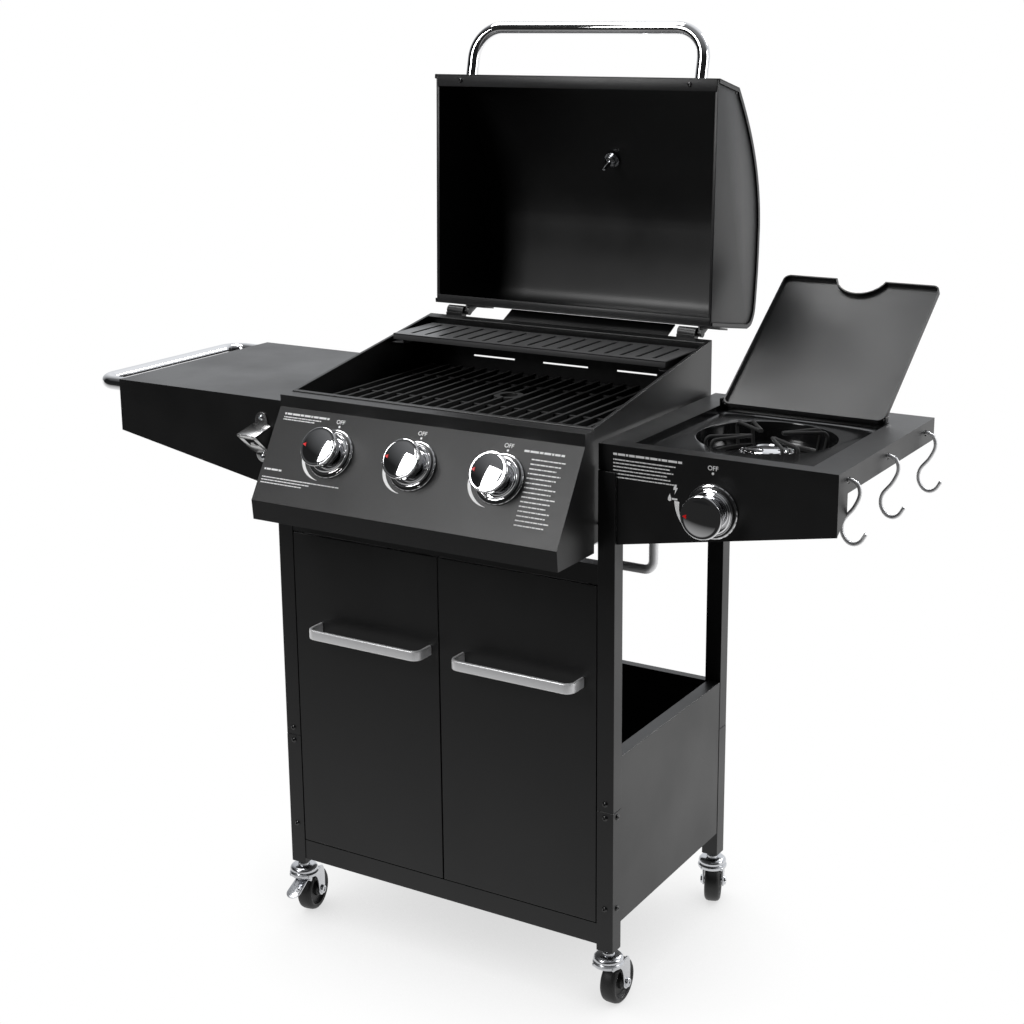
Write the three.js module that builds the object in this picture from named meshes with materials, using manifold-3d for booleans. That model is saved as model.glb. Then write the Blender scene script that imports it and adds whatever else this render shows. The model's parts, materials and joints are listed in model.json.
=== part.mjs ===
// Gas barbecue grill: a three-burner firebox with a hinged lid on a four-caster cabinet cart, with a plain
// shelf on the left and a side burner under its own lid on the right. Millimetres, X to the right, Y to the
// back, Z up. The cart is built with the floor at z = 0 and the front faces of its legs at y = 0; the group
// that is exported is then shifted so that its origin is the centre of its footprint on the floor.
import * as THREE from "three";
import { mergeVertices } from "three/addons/utils/BufferGeometryUtils.js";
import Module from "manifold-3d";

const wasm = await Module();
wasm.setup();

// Driving dimensions -------------------------------------------------------------------------------------
const CART_WIDTH = 550; // over the legs
const CART_DEPTH = 355; // over the legs
const GAP = 0.4; // between pieces that are bolted or laid against each other
const RUN_GAP = 1.5; // around doors, lids and other pieces that move
const SHEET = 2; // sheet metal
const LEG_X = 25; // leg tube, across
const LEG_Y = 22.8; // leg tube, front to back
const LEG_WALL = 1.6;
const LEG_PLUG = 30; // solid foot that the caster stem screws into
const WHEEL_R = 32.5;
const SWIVEL_TOP = 2 * WHEEL_R + 21; // top of a caster's swivel head
const LEG_BOTTOM = SWIVEL_TOP + 6;
const LEG_TOP = 769;
const LEG_SPLIT = 298; // lower and upper halves of a leg meet here
const SPLIT_GROOVE = 1;

const SHELF_TOP = 803.8; // both side shelves
const SHELF_REACH = 324; // how far a shelf reaches past the firebox
const SHELF_INSET = 3.9; // shelf aprons stand this far behind the leg faces
const APRON_OUTER = 78; // depth of the apron at its outer end
const APRON_INNER = 131; // depth of the apron at the leg
const END_PANEL = 30; // depth of the shelf's end panel
const END_RETURN = 31; // width of the flange that closes the front apron's end

const BASE_TOP = 131; // cabinet floor
const RAIL_BOTTOM = 100.5; // lower edge of the rail under the doors
const SIDE_PANEL_TOP = 373;
const BACK_PANEL_TOP = 370;
const DOOR_TOP = 614;
const DOOR_DEPTH = 15;
const DOOR_PIVOT_INSET = 12; // door edge to hinge pin
const HINGE_PIN_R = 2.5;
const TOP_RAIL_HEIGHT = 27;
const TOP_RAIL_DEPTH = 18;

const FIREBOX_HALF = 241.9;
const FIREBOX_FRONT = 2.6;
const FIREBOX_DEPTH = 349;
const RIM_FRONT = 821.2; // height of the firebox's front rim
const RIM_RISE = 59.2; // the rear rim stands this much higher
const FIREBOX_BOTTOM = 668;
const RIM_FRONT_FLANGE = 6; // how far the rim turns inward at the front, at the back and at each side
const RIM_REAR_FLANGE = 14;
const RIM_SIDE_FLANGE = 5;
const LEDGE = 11; // how far the ledges for the grate and the flame tamers reach past the rim's flanges

const PANEL_HALF = 243.6; // control panel
const PANEL_LEDGE = 24.6; // its flat top, front to back
const PANEL_LIP = 16.6; // upright strip under the flat top
const PANEL_SLOPE_RUN = 71.8;
const PANEL_SLOPE_DROP = 118.6;
const PANEL_SKIRT = 28; // upright strip under the slope

const KNOB_PITCH = 135;
const KNOB_ALONG_SLOPE = 58; // knob axis, down the slope from its upper edge
const KNOB_R = 28;
const KNOB_HEIGHT = 34;
const BEZEL_R = 35;
const BEZEL_HEIGHT = 8;
const STEM_R = 3.5;
const PUSH_TRAVEL = 5; // a knob is pressed this far before it turns
const SIDE_KNOB_X = 409;
const SIDE_KNOB_DROP = 68.3; // below the shelf top

const GRATE_TOP = 806;
const GRATE_BAR = 5;
const GRATE_HEIGHT = 10;
const GRATE_PITCH = 22;
const GRATE_BARS = 21;
const RACK_LEVEL = 868.5;
const RACK_DEPTH = 106;
const RACK_HALF = 228;
const RACK_SLOTS = 17;

const LID_HALF = 238.3;
const LID_LENGTH = 346.6; // along its open edge, back to front
const LID_OPEN = 101.3; // degrees from closed to open
const LID_GAP = 2; // between the closed lid and the firebox rim
const LID_BACK_LEAN = 19; // how far the back leans out at its upper corner
const LID_BACK_HEIGHT = 122;
const LID_CREST = 156;
const LID_FACE = 66; // flat front face
const LID_FACE_LEAN = 13;
const LID_RIM = 18; // inward flange along the front edge
const HINGE_X = 199; // hinge knuckles, from the middle
const KNUCKLE_R = 8;
const KNUCKLE_LENGTH = 29;

const HANDLE_R = 9.3; // chromed tube
const LID_HANDLE_HALF = 192.7;
const LID_HANDLE_OFF = 77;
const LID_HANDLE_BEND = 46;
const DOOR_HANDLE_LENGTH = 193;
const DOOR_HANDLE_OFF = 35;
const DOOR_HANDLE_TALL = 15;
const DOOR_HANDLE_THICK = 5;
const DOOR_HANDLE_LEVEL = 477;
const DOOR_HANDLE_X = [-109, 134]; // middle of each handle

const TRAY_HALF_X = 121; // side burner tray
const TRAY_HALF_Y = 132.5;
const TRAY_CENTRE_X = 410;
const TRAY_CENTRE_Y = 159.5;
const TRAY_DROP = 7;
const WELL_R = 92;
const WELL_DROP = 32;
const WELL_FROM_TRAY_CENTRE = 6;
const SIDE_LID_HALF = TRAY_HALF_X - GAP - SHEET - RUN_GAP; // it turns between two ears on the tray
const SIDE_LID_LENGTH = 262;
const SIDE_LID_OPEN = 144.7; // degrees from closed to open
const SIDE_LID_RIM = 8;
const NOTCH_R = 38;
const NOTCH_DEPTH = 27;

const WHEEL_WIDTH = 24;
const CASTER_TRAIL = 25;
const AXLE_R = 3.5;
const SWIVEL_R = 22;

const HOOK_WIRE = 1.8;
const PIPE_R = 6;
const ROUND = 16; // sides of an ordinary round piece

// Places worked out from the dimensions --------------------------------------------------------------------
const HALF = CART_WIDTH / 2;
const LEG_INNER = HALF - LEG_X; // inner face of a leg
const REAR_LEG = CART_DEPTH - LEG_Y; // front face of a rear leg
const PANEL_FRONT_X = LEG_INNER - GAP; // half width of what stands between the legs
const SHELF_OUTER = LEG_INNER - 1.4 + SHELF_REACH;
const SHELF_INNER = LEG_INNER - 1.4;
const SHELF_BACK = CART_DEPTH - SHELF_INSET + 1;
const FIREBOX_BACK = FIREBOX_FRONT + FIREBOX_DEPTH;
const RIM_REAR = RIM_FRONT + RIM_RISE;
const RIM_ANGLE = Math.atan2(RIM_RISE, FIREBOX_DEPTH);
const RAIL_LOW = DOOR_TOP + RUN_GAP;
const RAIL_HIGH = RAIL_LOW + TOP_RAIL_HEIGHT;
const PANEL_TOP = RIM_FRONT - 1.3;
const PANEL_FRONT_Y = FIREBOX_FRONT - PANEL_LEDGE;
const SLOPE_TOP = PANEL_TOP - PANEL_LIP;
const SLOPE_LENGTH = Math.hypot(PANEL_SLOPE_RUN, PANEL_SLOPE_DROP);
const SLOPE_ANGLE = Math.atan2(PANEL_SLOPE_RUN, PANEL_SLOPE_DROP); // from upright
const TRAY_FLOOR = SHELF_TOP - TRAY_DROP;
const WELL_FLOOR = TRAY_FLOOR - WELL_DROP;
const WELL_Y = TRAY_CENTRE_Y + WELL_FROM_TRAY_CENTRE;
const RAD = Math.PI / 180;

// Materials ------------------------------------------------------------------------------------------------
const finish = (color, roughness, metalness) => new THREE.MeshStandardMaterial({ color, roughness, metalness });
const BLACK_SHEET = finish(0x1b1b1c, 0.5, 0.3);
const BLACK_TEXTURED = finish(0x262627, 0.6, 0.3);
const CAST_IRON = finish(0x232323, 0.75, 0.2);
const ENAMEL = finish(0x0e0e0f, 0.3, 0.1);
const CHROME = finish(0xd9dadc, 0.08, 1);
const STEEL = finish(0xa9abad, 0.3, 1);
const RUBBER = finish(0x121212, 0.8, 0);

// Solids -----------------------------------------------------------------------------------------------------
// A geometry's closed surface as a solid; slivers that close on themselves are dropped.
function solid(geometry) {
  const bare = geometry.clone();
  bare.deleteAttribute("normal");
  bare.deleteAttribute("uv");
  const merged = mergeVertices(bare, 1e-3);
  const index = merged.index.array;
  const kept = [];
  for (let i = 0; i < index.length; i += 3) {
    const [a, b, c] = [index[i], index[i + 1], index[i + 2]];
    if (a !== b && b !== c && c !== a) kept.push(a, b, c);
  }
  const make = (triangles) =>
    new wasm.Manifold(
      new wasm.Mesh({
        numProp: 3,
        vertProperties: merged.attributes.position.array,
        triVerts: new Uint32Array(triangles),
      }),
    );
  const made = make(kept);
  return made.volume() < 0 ? make(kept.reverse()) : made;
}

const join = (...pieces) => pieces.flat().reduce((a, b) => a.add(b));
const cut = (piece, ...tools) => tools.flat().reduce((a, b) => a.subtract(b), piece);

// A box between two values on each axis.
function box(x0, x1, y0, y1, z0, z1) {
  const shape = new THREE.BoxGeometry(x1 - x0, y1 - y0, z1 - z0);
  return solid(shape.translate((x0 + x1) / 2, (y0 + y1) / 2, (z0 + z1) / 2));
}

// An outline swept straight along an axis: (y, z) pairs along x, (x, z) pairs along y, (x, y) pairs along z.
function prism(axis, outline, from, to) {
  const shape = outline instanceof THREE.Shape ? outline : new THREE.Shape(outline.map(([a, b]) => new THREE.Vector2(a, b)));
  const body = new THREE.ExtrudeGeometry(shape, { depth: to - from, bevelEnabled: false, curveSegments: 6 });
  const [x, y, z] = [new THREE.Vector3(1, 0, 0), new THREE.Vector3(0, 1, 0), new THREE.Vector3(0, 0, 1)];
  const turn = new THREE.Matrix4();
  if (axis === "x") body.applyMatrix4(turn.makeBasis(y, z, x)).translate(from, 0, 0);
  if (axis === "y") body.applyMatrix4(turn.makeBasis(x, z, y.negate())).translate(0, to, 0);
  if (axis === "z") body.translate(0, 0, from);
  return solid(body);
}

// A round rod between two points.
function rod(from, to, radius, sides = ROUND) {
  const a = new THREE.Vector3(...from);
  const b = new THREE.Vector3(...to);
  const along = b.clone().sub(a);
  const body = new THREE.CylinderGeometry(radius, radius, along.length(), sides);
  const turn = new THREE.Quaternion().setFromUnitVectors(new THREE.Vector3(0, 1, 0), along.clone().normalize());
  return solid(body.applyQuaternion(turn).translate(...a.add(b).multiplyScalar(0.5)));
}

// A profile of (radius, height) pairs turned about Z.
function turned(profile, sides = ROUND) {
  const points = profile.map(([r, h]) => new THREE.Vector2(r, h));
  return solid(new THREE.LatheGeometry(points, sides).rotateX(Math.PI / 2));
}

const moved = (piece, x, y, z) => piece.translate([x, y, z]);

// A route through corner points, with each inner corner rounded to a radius.
function bentRoute(corners, radius, steps = 5) {
  const points = corners.map((p) => new THREE.Vector3(...p));
  const route = [points[0]];
  for (let i = 1; i < points.length - 1; i++) {
    const before = points[i].clone().sub(points[i - 1]).normalize();
    const after = points[i + 1].clone().sub(points[i]).normalize();
    const angle = before.angleTo(after);
    const start = points[i].clone().addScaledVector(before, -radius * Math.tan(angle / 2));
    const inward = after.clone().addScaledVector(before, -after.dot(before)).normalize();
    const centre = start.clone().addScaledVector(inward, radius);
    for (let s = 0; s <= steps; s++) {
      const a = (angle * s) / steps;
      const spoke = inward.clone().multiplyScalar(-radius * Math.cos(a));
      route.push(centre.clone().add(spoke).addScaledVector(before, radius * Math.sin(a)));
    }
  }
  route.push(points[points.length - 1]);
  return route;
}

// A curve that is read only at its own points, so that a sweep has a section at each of them.
class Route extends THREE.Curve {
  constructor(points) {
    super();
    this.points = points;
  }
  getPointAt(u, target = new THREE.Vector3()) {
    return target.copy(this.points[Math.round(u * (this.points.length - 1))]);
  }
  getTangentAt(u, target = new THREE.Vector3()) {
    const last = this.points.length - 1;
    const i = Math.round(u * last);
    const [a, b] = [this.points[Math.max(i - 1, 0)], this.points[Math.min(i + 1, last)]];
    return target.copy(b).sub(a).normalize();
  }
}

// A round tube or wire, closed at its ends, along a route.
function tube(route, radius, sides = 12) {
  const ring = new THREE.Shape();
  for (let i = 0; i < sides; i++) {
    const a = (2 * Math.PI * i) / sides;
    if (i === 0) ring.moveTo(radius, 0);
    else ring.lineTo(radius * Math.cos(a), radius * Math.sin(a));
  }
  ring.closePath();
  const path = new Route(route);
  return solid(new THREE.ExtrudeGeometry(ring, { steps: route.length - 1, extrudePath: path, bevelEnabled: false }));
}

// A rectangle with rounded corners, as a shape.
function roundedRectangle(x0, x1, y0, y1, r) {
  const s = new THREE.Shape();
  s.moveTo(x0 + r, y0);
  s.lineTo(x1 - r, y0).absarc(x1 - r, y0 + r, r, -Math.PI / 2, 0);
  s.lineTo(x1, y1 - r).absarc(x1 - r, y1 - r, r, 0, Math.PI / 2);
  s.lineTo(x0 + r, y1).absarc(x0 + r, y1 - r, r, Math.PI / 2, Math.PI);
  s.lineTo(x0, y0 + r).absarc(x0 + r, y0 + r, r, Math.PI, 1.5 * Math.PI);
  return s;
}

// Adds a named piece to a group.
function add(group, name, piece, material) {
  const mesh = piece.getMesh();
  const geometry = new THREE.BufferGeometry();
  geometry.setAttribute("position", new THREE.BufferAttribute(new Float32Array(mesh.vertProperties), 3));
  geometry.setIndex(new THREE.BufferAttribute(new Uint32Array(mesh.triVerts), 1));
  const node = new THREE.Mesh(geometry, material);
  node.name = name;
  group.add(node);
}

const grill = new THREE.Group();
const cart = new THREE.Group();
grill.add(cart);
const SIDES = [
  ["left", -1],
  ["right", 1],
];

// Cart frame -----------------------------------------------------------------------------------------------
function leg(side, y0) {
  const [x0, x1] = side < 0 ? [-HALF, -LEG_INNER] : [LEG_INNER, HALF];
  const y1 = y0 + LEG_Y;
  const w = LEG_WALL;
  const body = box(x0, x1, y0, y1, LEG_BOTTOM, LEG_TOP);
  const bore = box(x0 + w, x1 - w, y0 + w, y1 - w, LEG_BOTTOM + LEG_PLUG, LEG_TOP + 1);
  const g = SPLIT_GROOVE;
  const ring = cut(
    box(x0 - g, x1 + g, y0 - g, y1 + g, LEG_SPLIT, LEG_SPLIT + g),
    box(x0 + g / 2, x1 - g / 2, y0 + g / 2, y1 - g / 2, LEG_SPLIT - g, LEG_SPLIT + 2 * g),
  );
  const stem = rod([(x0 + x1) / 2, (y0 + y1) / 2, LEG_BOTTOM - 1], [(x0 + x1) / 2, (y0 + y1) / 2, stemTop() + 2], 5.4);
  return cut(body, bore, ring, stem);
}

function stemTop() {
  return LEG_BOTTOM + LEG_PLUG * 0.7;
}

function baseShelf() {
  const x = PANEL_FRONT_X;
  const back = CART_DEPTH - 5 - SHEET - GAP;
  const floor = box(-x, x, 1, back, BASE_TOP - SHEET, BASE_TOP);
  const wings = SIDES.map(([, s]) => {
    const reach = s * (HALF - 5);
    const [a, b] = s < 0 ? [reach, -x + 1] : [x - 1, reach];
    return box(a, b, LEG_Y + GAP, REAR_LEG - GAP, BASE_TOP - SHEET, BASE_TOP);
  });
  const front = box(-x, x, 1, 1 + SHEET, RAIL_BOTTOM, BASE_TOP);
  const rear = box(-x, x, back - SHEET, back, RAIL_BOTTOM + 8, BASE_TOP);
  const pins = SIDES.map(([, s]) => doorPinHole(s, BASE_TOP - 6, BASE_TOP + 6));
  return cut(join(floor, wings, front, rear), pins);
}

function sidePanel(s) {
  const outer = HALF - 0.6;
  const flange = 20;
  const lip = 8;
  const at = (a, b, y0, y1, z0, z1) => (s < 0 ? box(-b, -a, y0, y1, z0, z1) : box(a, b, y0, y1, z0, z1));
  const [y0, y1] = [LEG_Y + GAP, REAR_LEG - GAP];
  const sheet = at(outer - SHEET, outer, y0, y1, BASE_TOP - 1, SIDE_PANEL_TOP);
  const top = at(outer - flange, outer, y0, y1, SIDE_PANEL_TOP - SHEET, SIDE_PANEL_TOP);
  const turnDown = at(outer - flange, outer - flange + SHEET, y0, y1, SIDE_PANEL_TOP - lip, SIDE_PANEL_TOP);
  return join(sheet, top, turnDown);
}

function backPanel() {
  const x = PANEL_FRONT_X;
  const back = CART_DEPTH - 5;
  const lip = 8;
  const sheet = box(-x, x, back - SHEET, back, RAIL_BOTTOM, BACK_PANEL_TOP);
  const top = box(-x, x, back - 14, back, BACK_PANEL_TOP - SHEET, BACK_PANEL_TOP);
  const turnDown = box(-x, x, back - 14, back - 14 + SHEET, BACK_PANEL_TOP - lip, BACK_PANEL_TOP);
  return join(sheet, top, turnDown);
}

function topFrontRail() {
  const x = PANEL_FRONT_X;
  const [y0, y1] = [1, 1 + TOP_RAIL_DEPTH];
  const face = box(-x, x, y0, y0 + SHEET, RAIL_LOW, RAIL_HIGH);
  const upper = box(-x, x, y0, y1, RAIL_HIGH - SHEET, RAIL_HIGH);
  const lower = box(-x, x, y0, y1, RAIL_LOW, RAIL_LOW + SHEET);
  const pins = SIDES.map(([, s]) => doorPinHole(s, RAIL_LOW - 1, RAIL_LOW + 10));
  return cut(join(face, upper, lower), pins);
}

// Doors ------------------------------------------------------------------------------------------------------
const DOOR_OUTER = LEG_INNER - RUN_GAP;
const DOOR_PIVOT_X = DOOR_OUTER - DOOR_PIVOT_INSET;
const DOOR_PIVOT_Y = 5; // nearer the front, so that the corner by the leg swings clear of it
const DOOR_BOTTOM = BASE_TOP + RUN_GAP;

function doorPinHole(s, z0, z1) {
  return rod([s * DOOR_PIVOT_X, DOOR_PIVOT_Y, z0], [s * DOOR_PIVOT_X, DOOR_PIVOT_Y, z1], HINGE_PIN_R + 0.5);
}

function door(s) {
  const t = 1.5;
  const [a, b] = s < 0 ? [-DOOR_OUTER, -1] : [1, DOOR_OUTER];
  const body = box(a, b, 0, DOOR_DEPTH, DOOR_BOTTOM, DOOR_TOP);
  const pocket = box(a + t, b - t, t, DOOR_DEPTH + 1, DOOR_BOTTOM + t, DOOR_TOP - t);
  const reach = RUN_GAP + SHEET + 1.5;
  const pin = (z0, z1) =>
    rod([s * DOOR_PIVOT_X, DOOR_PIVOT_Y, z0], [s * DOOR_PIVOT_X, DOOR_PIVOT_Y, z1], HINGE_PIN_R, 12);
  return join(
    cut(body, pocket),
    pin(DOOR_TOP - 0.5, DOOR_TOP + reach),
    pin(DOOR_BOTTOM - reach, DOOR_BOTTOM + 0.5),
  );
}

function doorHandle(middle) {
  const half = DOOR_HANDLE_LENGTH / 2;
  const [front, back, r, t] = [-DOOR_HANDLE_OFF, -GAP, 14, DOOR_HANDLE_THICK];
  const strap = (grow, behind) => {
    const s = new THREE.Shape();
    const [x0, x1, y0] = [middle - half + grow, middle + half - grow, front + grow];
    s.moveTo(x0, behind).lineTo(x0, y0 + r).absarc(x0 + r, y0 + r, r, Math.PI, 1.5 * Math.PI);
    s.lineTo(x1 - r, y0).absarc(x1 - r, y0 + r, r, 1.5 * Math.PI, 2 * Math.PI);
    s.lineTo(x1, behind);
    return s;
  };
  const low = DOOR_HANDLE_LEVEL - DOOR_HANDLE_TALL / 2;
  const high = DOOR_HANDLE_LEVEL + DOOR_HANDLE_TALL / 2;
  return cut(prism("z", strap(0, back), low, high), prism("z", strap(t, back + 1), low - 1, high + 1));
}

// Casters ----------------------------------------------------------------------------------------------------
function casterFork() {
  const top = SWIVEL_TOP;
  const head = turned([
    [0, top - 18],
    [SWIVEL_R - 2, top - 18],
    [SWIVEL_R, top - 15],
    [SWIVEL_R, top - 10],
    [SWIVEL_R - 3, top - 8],
    [SWIVEL_R - 2, top - 5],
    [SWIVEL_R - 4, top],
    [5, top],
    [5, stemTop()],
    [0, stemTop()],
  ]);
  const inner = WHEEL_WIDTH / 2 + 2;
  const outline = [
    [-14, top - 14],
    [-12, top - 28],
    [0, top - 31],
    [CASTER_TRAIL - 8, top - 40],
    [CASTER_TRAIL - 8, WHEEL_R - 3],
    [CASTER_TRAIL - 4, WHEEL_R - 8],
    [CASTER_TRAIL + 4, WHEEL_R - 8],
    [CASTER_TRAIL + 8, WHEEL_R - 3],
    [CASTER_TRAIL + 6, top - 26],
    [CASTER_TRAIL - 4, top - 14],
  ];
  const cheeks = [-1, 1].map((s) => prism("x", outline, s * inner - (s < 0 ? 2.5 : 0), s * inner + (s < 0 ? 0 : 2.5)));
  const bridge = box(-inner - 2.5, inner + 2.5, -14, CASTER_TRAIL - 4, top - 17, top - 14);
  const axle = rod([-inner - 4, CASTER_TRAIL, WHEEL_R], [inner + 4, CASTER_TRAIL, WHEEL_R], AXLE_R, 12);
  const pivot = rod([-inner - 5, PEDAL_PIVOT.y, PEDAL_PIVOT.z], [inner + 5, PEDAL_PIVOT.y, PEDAL_PIVOT.z], 2.6, 12);
  return cut(join(head, cheeks, bridge, axle), pivot);
}

function casterWheel() {
  const [w, r, bore] = [WHEEL_WIDTH / 2, WHEEL_R, AXLE_R + 0.4];
  const half = [
    [bore, w],
    [9, w],
    [10, 6],
    [22, 6],
    [24, w - 1],
    [r - 4, w - 1],
    [r, w - 6],
  ];
  const profile = [...half, ...half.map(([a, b]) => [a, -b]).reverse()];
  profile.push(profile[0]);
  const wheel = turned(profile, 24).rotate([0, 90, 0]);
  return moved(wheel, 0, CASTER_TRAIL, WHEEL_R);
}

// Foot pedal of the one braked caster, on a pin between the fork's cheeks.
const PEDAL_PIVOT = { y: -5, z: SWIVEL_TOP - 23 };
function brakePedal() {
  const { y, z } = PEDAL_PIVOT;
  const reach = WHEEL_WIDTH / 2 + 4;
  const plate = [
    [y, z + 3],
    [-26, z],
    [-46, z - 10],
    [-48, z - 13],
    [-46.5, z - 14],
    [-26, z - 4],
    [y, z - 3],
  ];
  return join(
    prism("x", plate, -10, 10),
    rod([-10, y, z], [10, y, z], 3.4, 12),
    rod([-reach, y, z], [reach, y, z], 2.2, 12),
  );
}

const CASTERS = [
  ["front_left", -1, LEG_Y / 2, 10],
  ["front_right", 1, LEG_Y / 2, 0],
  ["rear_left", -1, CART_DEPTH - LEG_Y / 2, 15],
  ["rear_right", 1, CART_DEPTH - LEG_Y / 2, 20],
];
for (const [corner, s, y, turn] of CASTERS) {
  add(cart, `leg_${corner}`, leg(s, y - LEG_Y / 2), BLACK_SHEET);
  const caster = new THREE.Group();
  caster.position.set(s * (HALF - LEG_X / 2), y, 0);
  caster.rotation.z = turn * RAD;
  cart.add(caster);
  add(caster, `caster_fork_${corner}`, casterFork(), STEEL);
  add(caster, `caster_wheel_${corner}`, casterWheel(), RUBBER);
  if (corner === "front_left") add(caster, "brake_pedal", brakePedal(), STEEL);
}
add(cart, "base_shelf", baseShelf(), BLACK_SHEET);
add(cart, "back_panel", backPanel(), BLACK_SHEET);
add(cart, "top_front_rail", topFrontRail(), BLACK_SHEET);
SIDES.forEach(([side, s], i) => {
  add(cart, `side_panel_${side}`, sidePanel(s), BLACK_SHEET);
  add(cart, `door_${side}`, door(s), BLACK_SHEET);
  add(cart, `door_handle_${side}`, doorHandle(DOOR_HANDLE_X[i]), CHROME);
});

// Firebox ------------------------------------------------------------------------------------------------------
const rimHeight = (y) => RIM_FRONT + ((y - FIREBOX_FRONT) * RIM_RISE) / FIREBOX_DEPTH;
const TAMER_LEDGE = 738;
const BURNER_LEVEL = 708;
const GRATE_LEDGE = GRATE_TOP - GRATE_HEIGHT - GAP;

function firebox() {
  const [x, y0, y1, t] = [FIREBOX_HALF, FIREBOX_FRONT, FIREBOX_BACK, SHEET];
  const side = (a, b, low, over) => [
    [a, low],
    [b, low],
    [b, rimHeight(b) + over],
    [a, rimHeight(a) + over],
  ];
  const shell = cut(
    prism("x", side(y0, y1, FIREBOX_BOTTOM, 0), -x, x),
    prism("x", side(y0 + t, y1 - t, FIREBOX_BOTTOM + t, 5), -x + t, x - t),
    box(-40, 40, 150, 210, FIREBOX_BOTTOM - 1, FIREBOX_BOTTOM + t + 1),
  );
  const rim = cut(
    prism("x", side(y0, y1, RIM_FRONT - t, 0).slice(2).concat([[y0, RIM_FRONT - t], [y1, RIM_REAR - t]]), -x, x),
    box(
      -x + RIM_SIDE_FLANGE,
      x - RIM_SIDE_FLANGE,
      y0 + RIM_FRONT_FLANGE,
      y1 - RIM_REAR_FLANGE,
      RIM_FRONT - 10,
      RIM_REAR + 10,
    ),
  );
  const ledges = [GRATE_LEDGE, TAMER_LEDGE].flatMap((z) => [
    box(-x + 1, x - 1, y0 + 1, y0 + RIM_FRONT_FLANGE + LEDGE, z - t, z),
    box(-x + 1, x - 1, y1 - RIM_REAR_FLANGE - LEDGE, y1 - 1, z - t, z),
  ]);
  const wings = SIDES.map(([, s]) => {
    const [a, b] = s < 0 ? [-PANEL_FRONT_X, -x + 1] : [x - 1, PANEL_FRONT_X];
    return box(a, b, 20, y1 - 20, 690, 690 + t);
  });
  const guides = SIDES.map(([, s]) => trayGuide(s));
  const rackRails = SIDES.flatMap(([, s]) => rackRail(s));
  const rest = prism("x", lidRest(), LID_REST[0], LID_REST[1]);
  const burnerHoles = BURNER_X.map((b) => rod([b, -5, BURNER_LEVEL], [b, y0 + 5, BURNER_LEVEL], 10));
  const slots = REAR_SLOTS.map(([a, b]) => box(a, b, y1 - 5, y1 + 5, REAR_SLOT_LOW, REAR_SLOT_HIGH));
  return cut(join(shell, rim, ledges, rackRails, wings, guides, rest), burnerHoles, slots);
}

const BURNER_X = [-KNOB_PITCH, 0, KNOB_PITCH];
const [REAR_SLOT_LOW, REAR_SLOT_HIGH] = [819.6, 822];
const REAR_SLOTS = [
  [-162, -88],
  [-38, 40],
  [89, 155],
];
const LID_REST = [-110, 170];

// An angle on a side wall, under one end of the warming rack.
const RACK_BACK = FIREBOX_BACK - RIM_REAR_FLANGE - RUN_GAP;
const RACK_FRONT = RACK_BACK - RACK_DEPTH;
function rackRail(s) {
  const [a, b, t] = [RACK_HALF - 14, FIREBOX_HALF - 1, SHEET];
  const [y0, y1] = [RACK_FRONT + 8, RACK_BACK - 6];
  const low = rimHeight(RACK_FRONT) - 8;
  const at = (p, q, z0, z1) => (s < 0 ? box(-q, -p, y0, y1, z0, z1) : box(p, q, y0, y1, z0, z1));
  return [at(a, b, low, low + t), at(a, a + t, low, RACK_LEVEL - SHEET - GAP)];
}

// The flange that the open lid leans on, bent up and back from the rear wall.
function lidRest() {
  const [y, z] = [FIREBOX_BACK - 0.5, RIM_REAR - 1];
  return [
    [y, z - 2.2],
    [y + 28, z + 11.5],
    [y + 27, z + 13.4],
    [y, z],
  ];
}

// Grease tray and the two guides that it slides in, under the firebox.
const TRAY_W = 140;
const GUIDE_LEVEL = FIREBOX_BOTTOM - 12; // what the tray's rims slide on
function trayGuide(s) {
  const [a, t] = [TRAY_W + 4, SHEET];
  const y = [60, FIREBOX_BACK - 4];
  const at = (p, q, z0, z1) => (s < 0 ? box(-q, -p, y[0], y[1], z0, z1) : box(p, q, y[0], y[1], z0, z1));
  return join(
    at(a, a + t, GUIDE_LEVEL - t, FIREBOX_BOTTOM + 1),
    at(a - 10, a + t, GUIDE_LEVEL - t, GUIDE_LEVEL),
  );
}

function greaseTray() {
  const [top, depth, t] = [FIREBOX_BOTTOM - 3, 28, SHEET];
  const [y0, y1, x] = [62, FIREBOX_BACK + 6, TRAY_W - 8];
  const pan = cut(box(-x, x, y0, y1, top - depth, top), box(-x + t, x - t, y0 + t, y1 - t, top - depth + t, top + 1));
  const rims = SIDES.map(([, s]) => {
    const [a, b] = s < 0 ? [-TRAY_W - 2, -x + 1] : [x - 1, TRAY_W + 2];
    return box(a, b, y0, FIREBOX_BACK - 6, GUIDE_LEVEL + GAP, GUIDE_LEVEL + GAP + t);
  });
  const pull = box(-45, 45, y1 - 1, y1 + 14, top - depth, top - depth + t);
  return join(pan, rims, pull);
}

function burnerTube(x) {
  return join(
    rod([x, 40, BURNER_LEVEL], [x, FIREBOX_BACK - 20, BURNER_LEVEL], 12.5),
    rod([x, -2, BURNER_LEVEL], [x, 42, BURNER_LEVEL], 9),
    box(x - 8, x + 8, FIREBOX_BACK - 24, FIREBOX_BACK - 20, FIREBOX_BOTTOM + SHEET + GAP, BURNER_LEVEL),
  );
}

function flameTamer(x) {
  const [w, rise, t] = [62, 26, SHEET];
  const z = TAMER_LEDGE + GAP;
  const roof = [
    [x - w, z],
    [x, z + rise],
    [x + w, z],
    [x + w - 1, z + t + 1.5],
    [x, z + rise + t + 1],
    [x - w + 1, z + t + 1.5],
  ];
  return prism("y", roof, FIREBOX_FRONT + SHEET + 1, FIREBOX_BACK - SHEET - 1);
}

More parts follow.
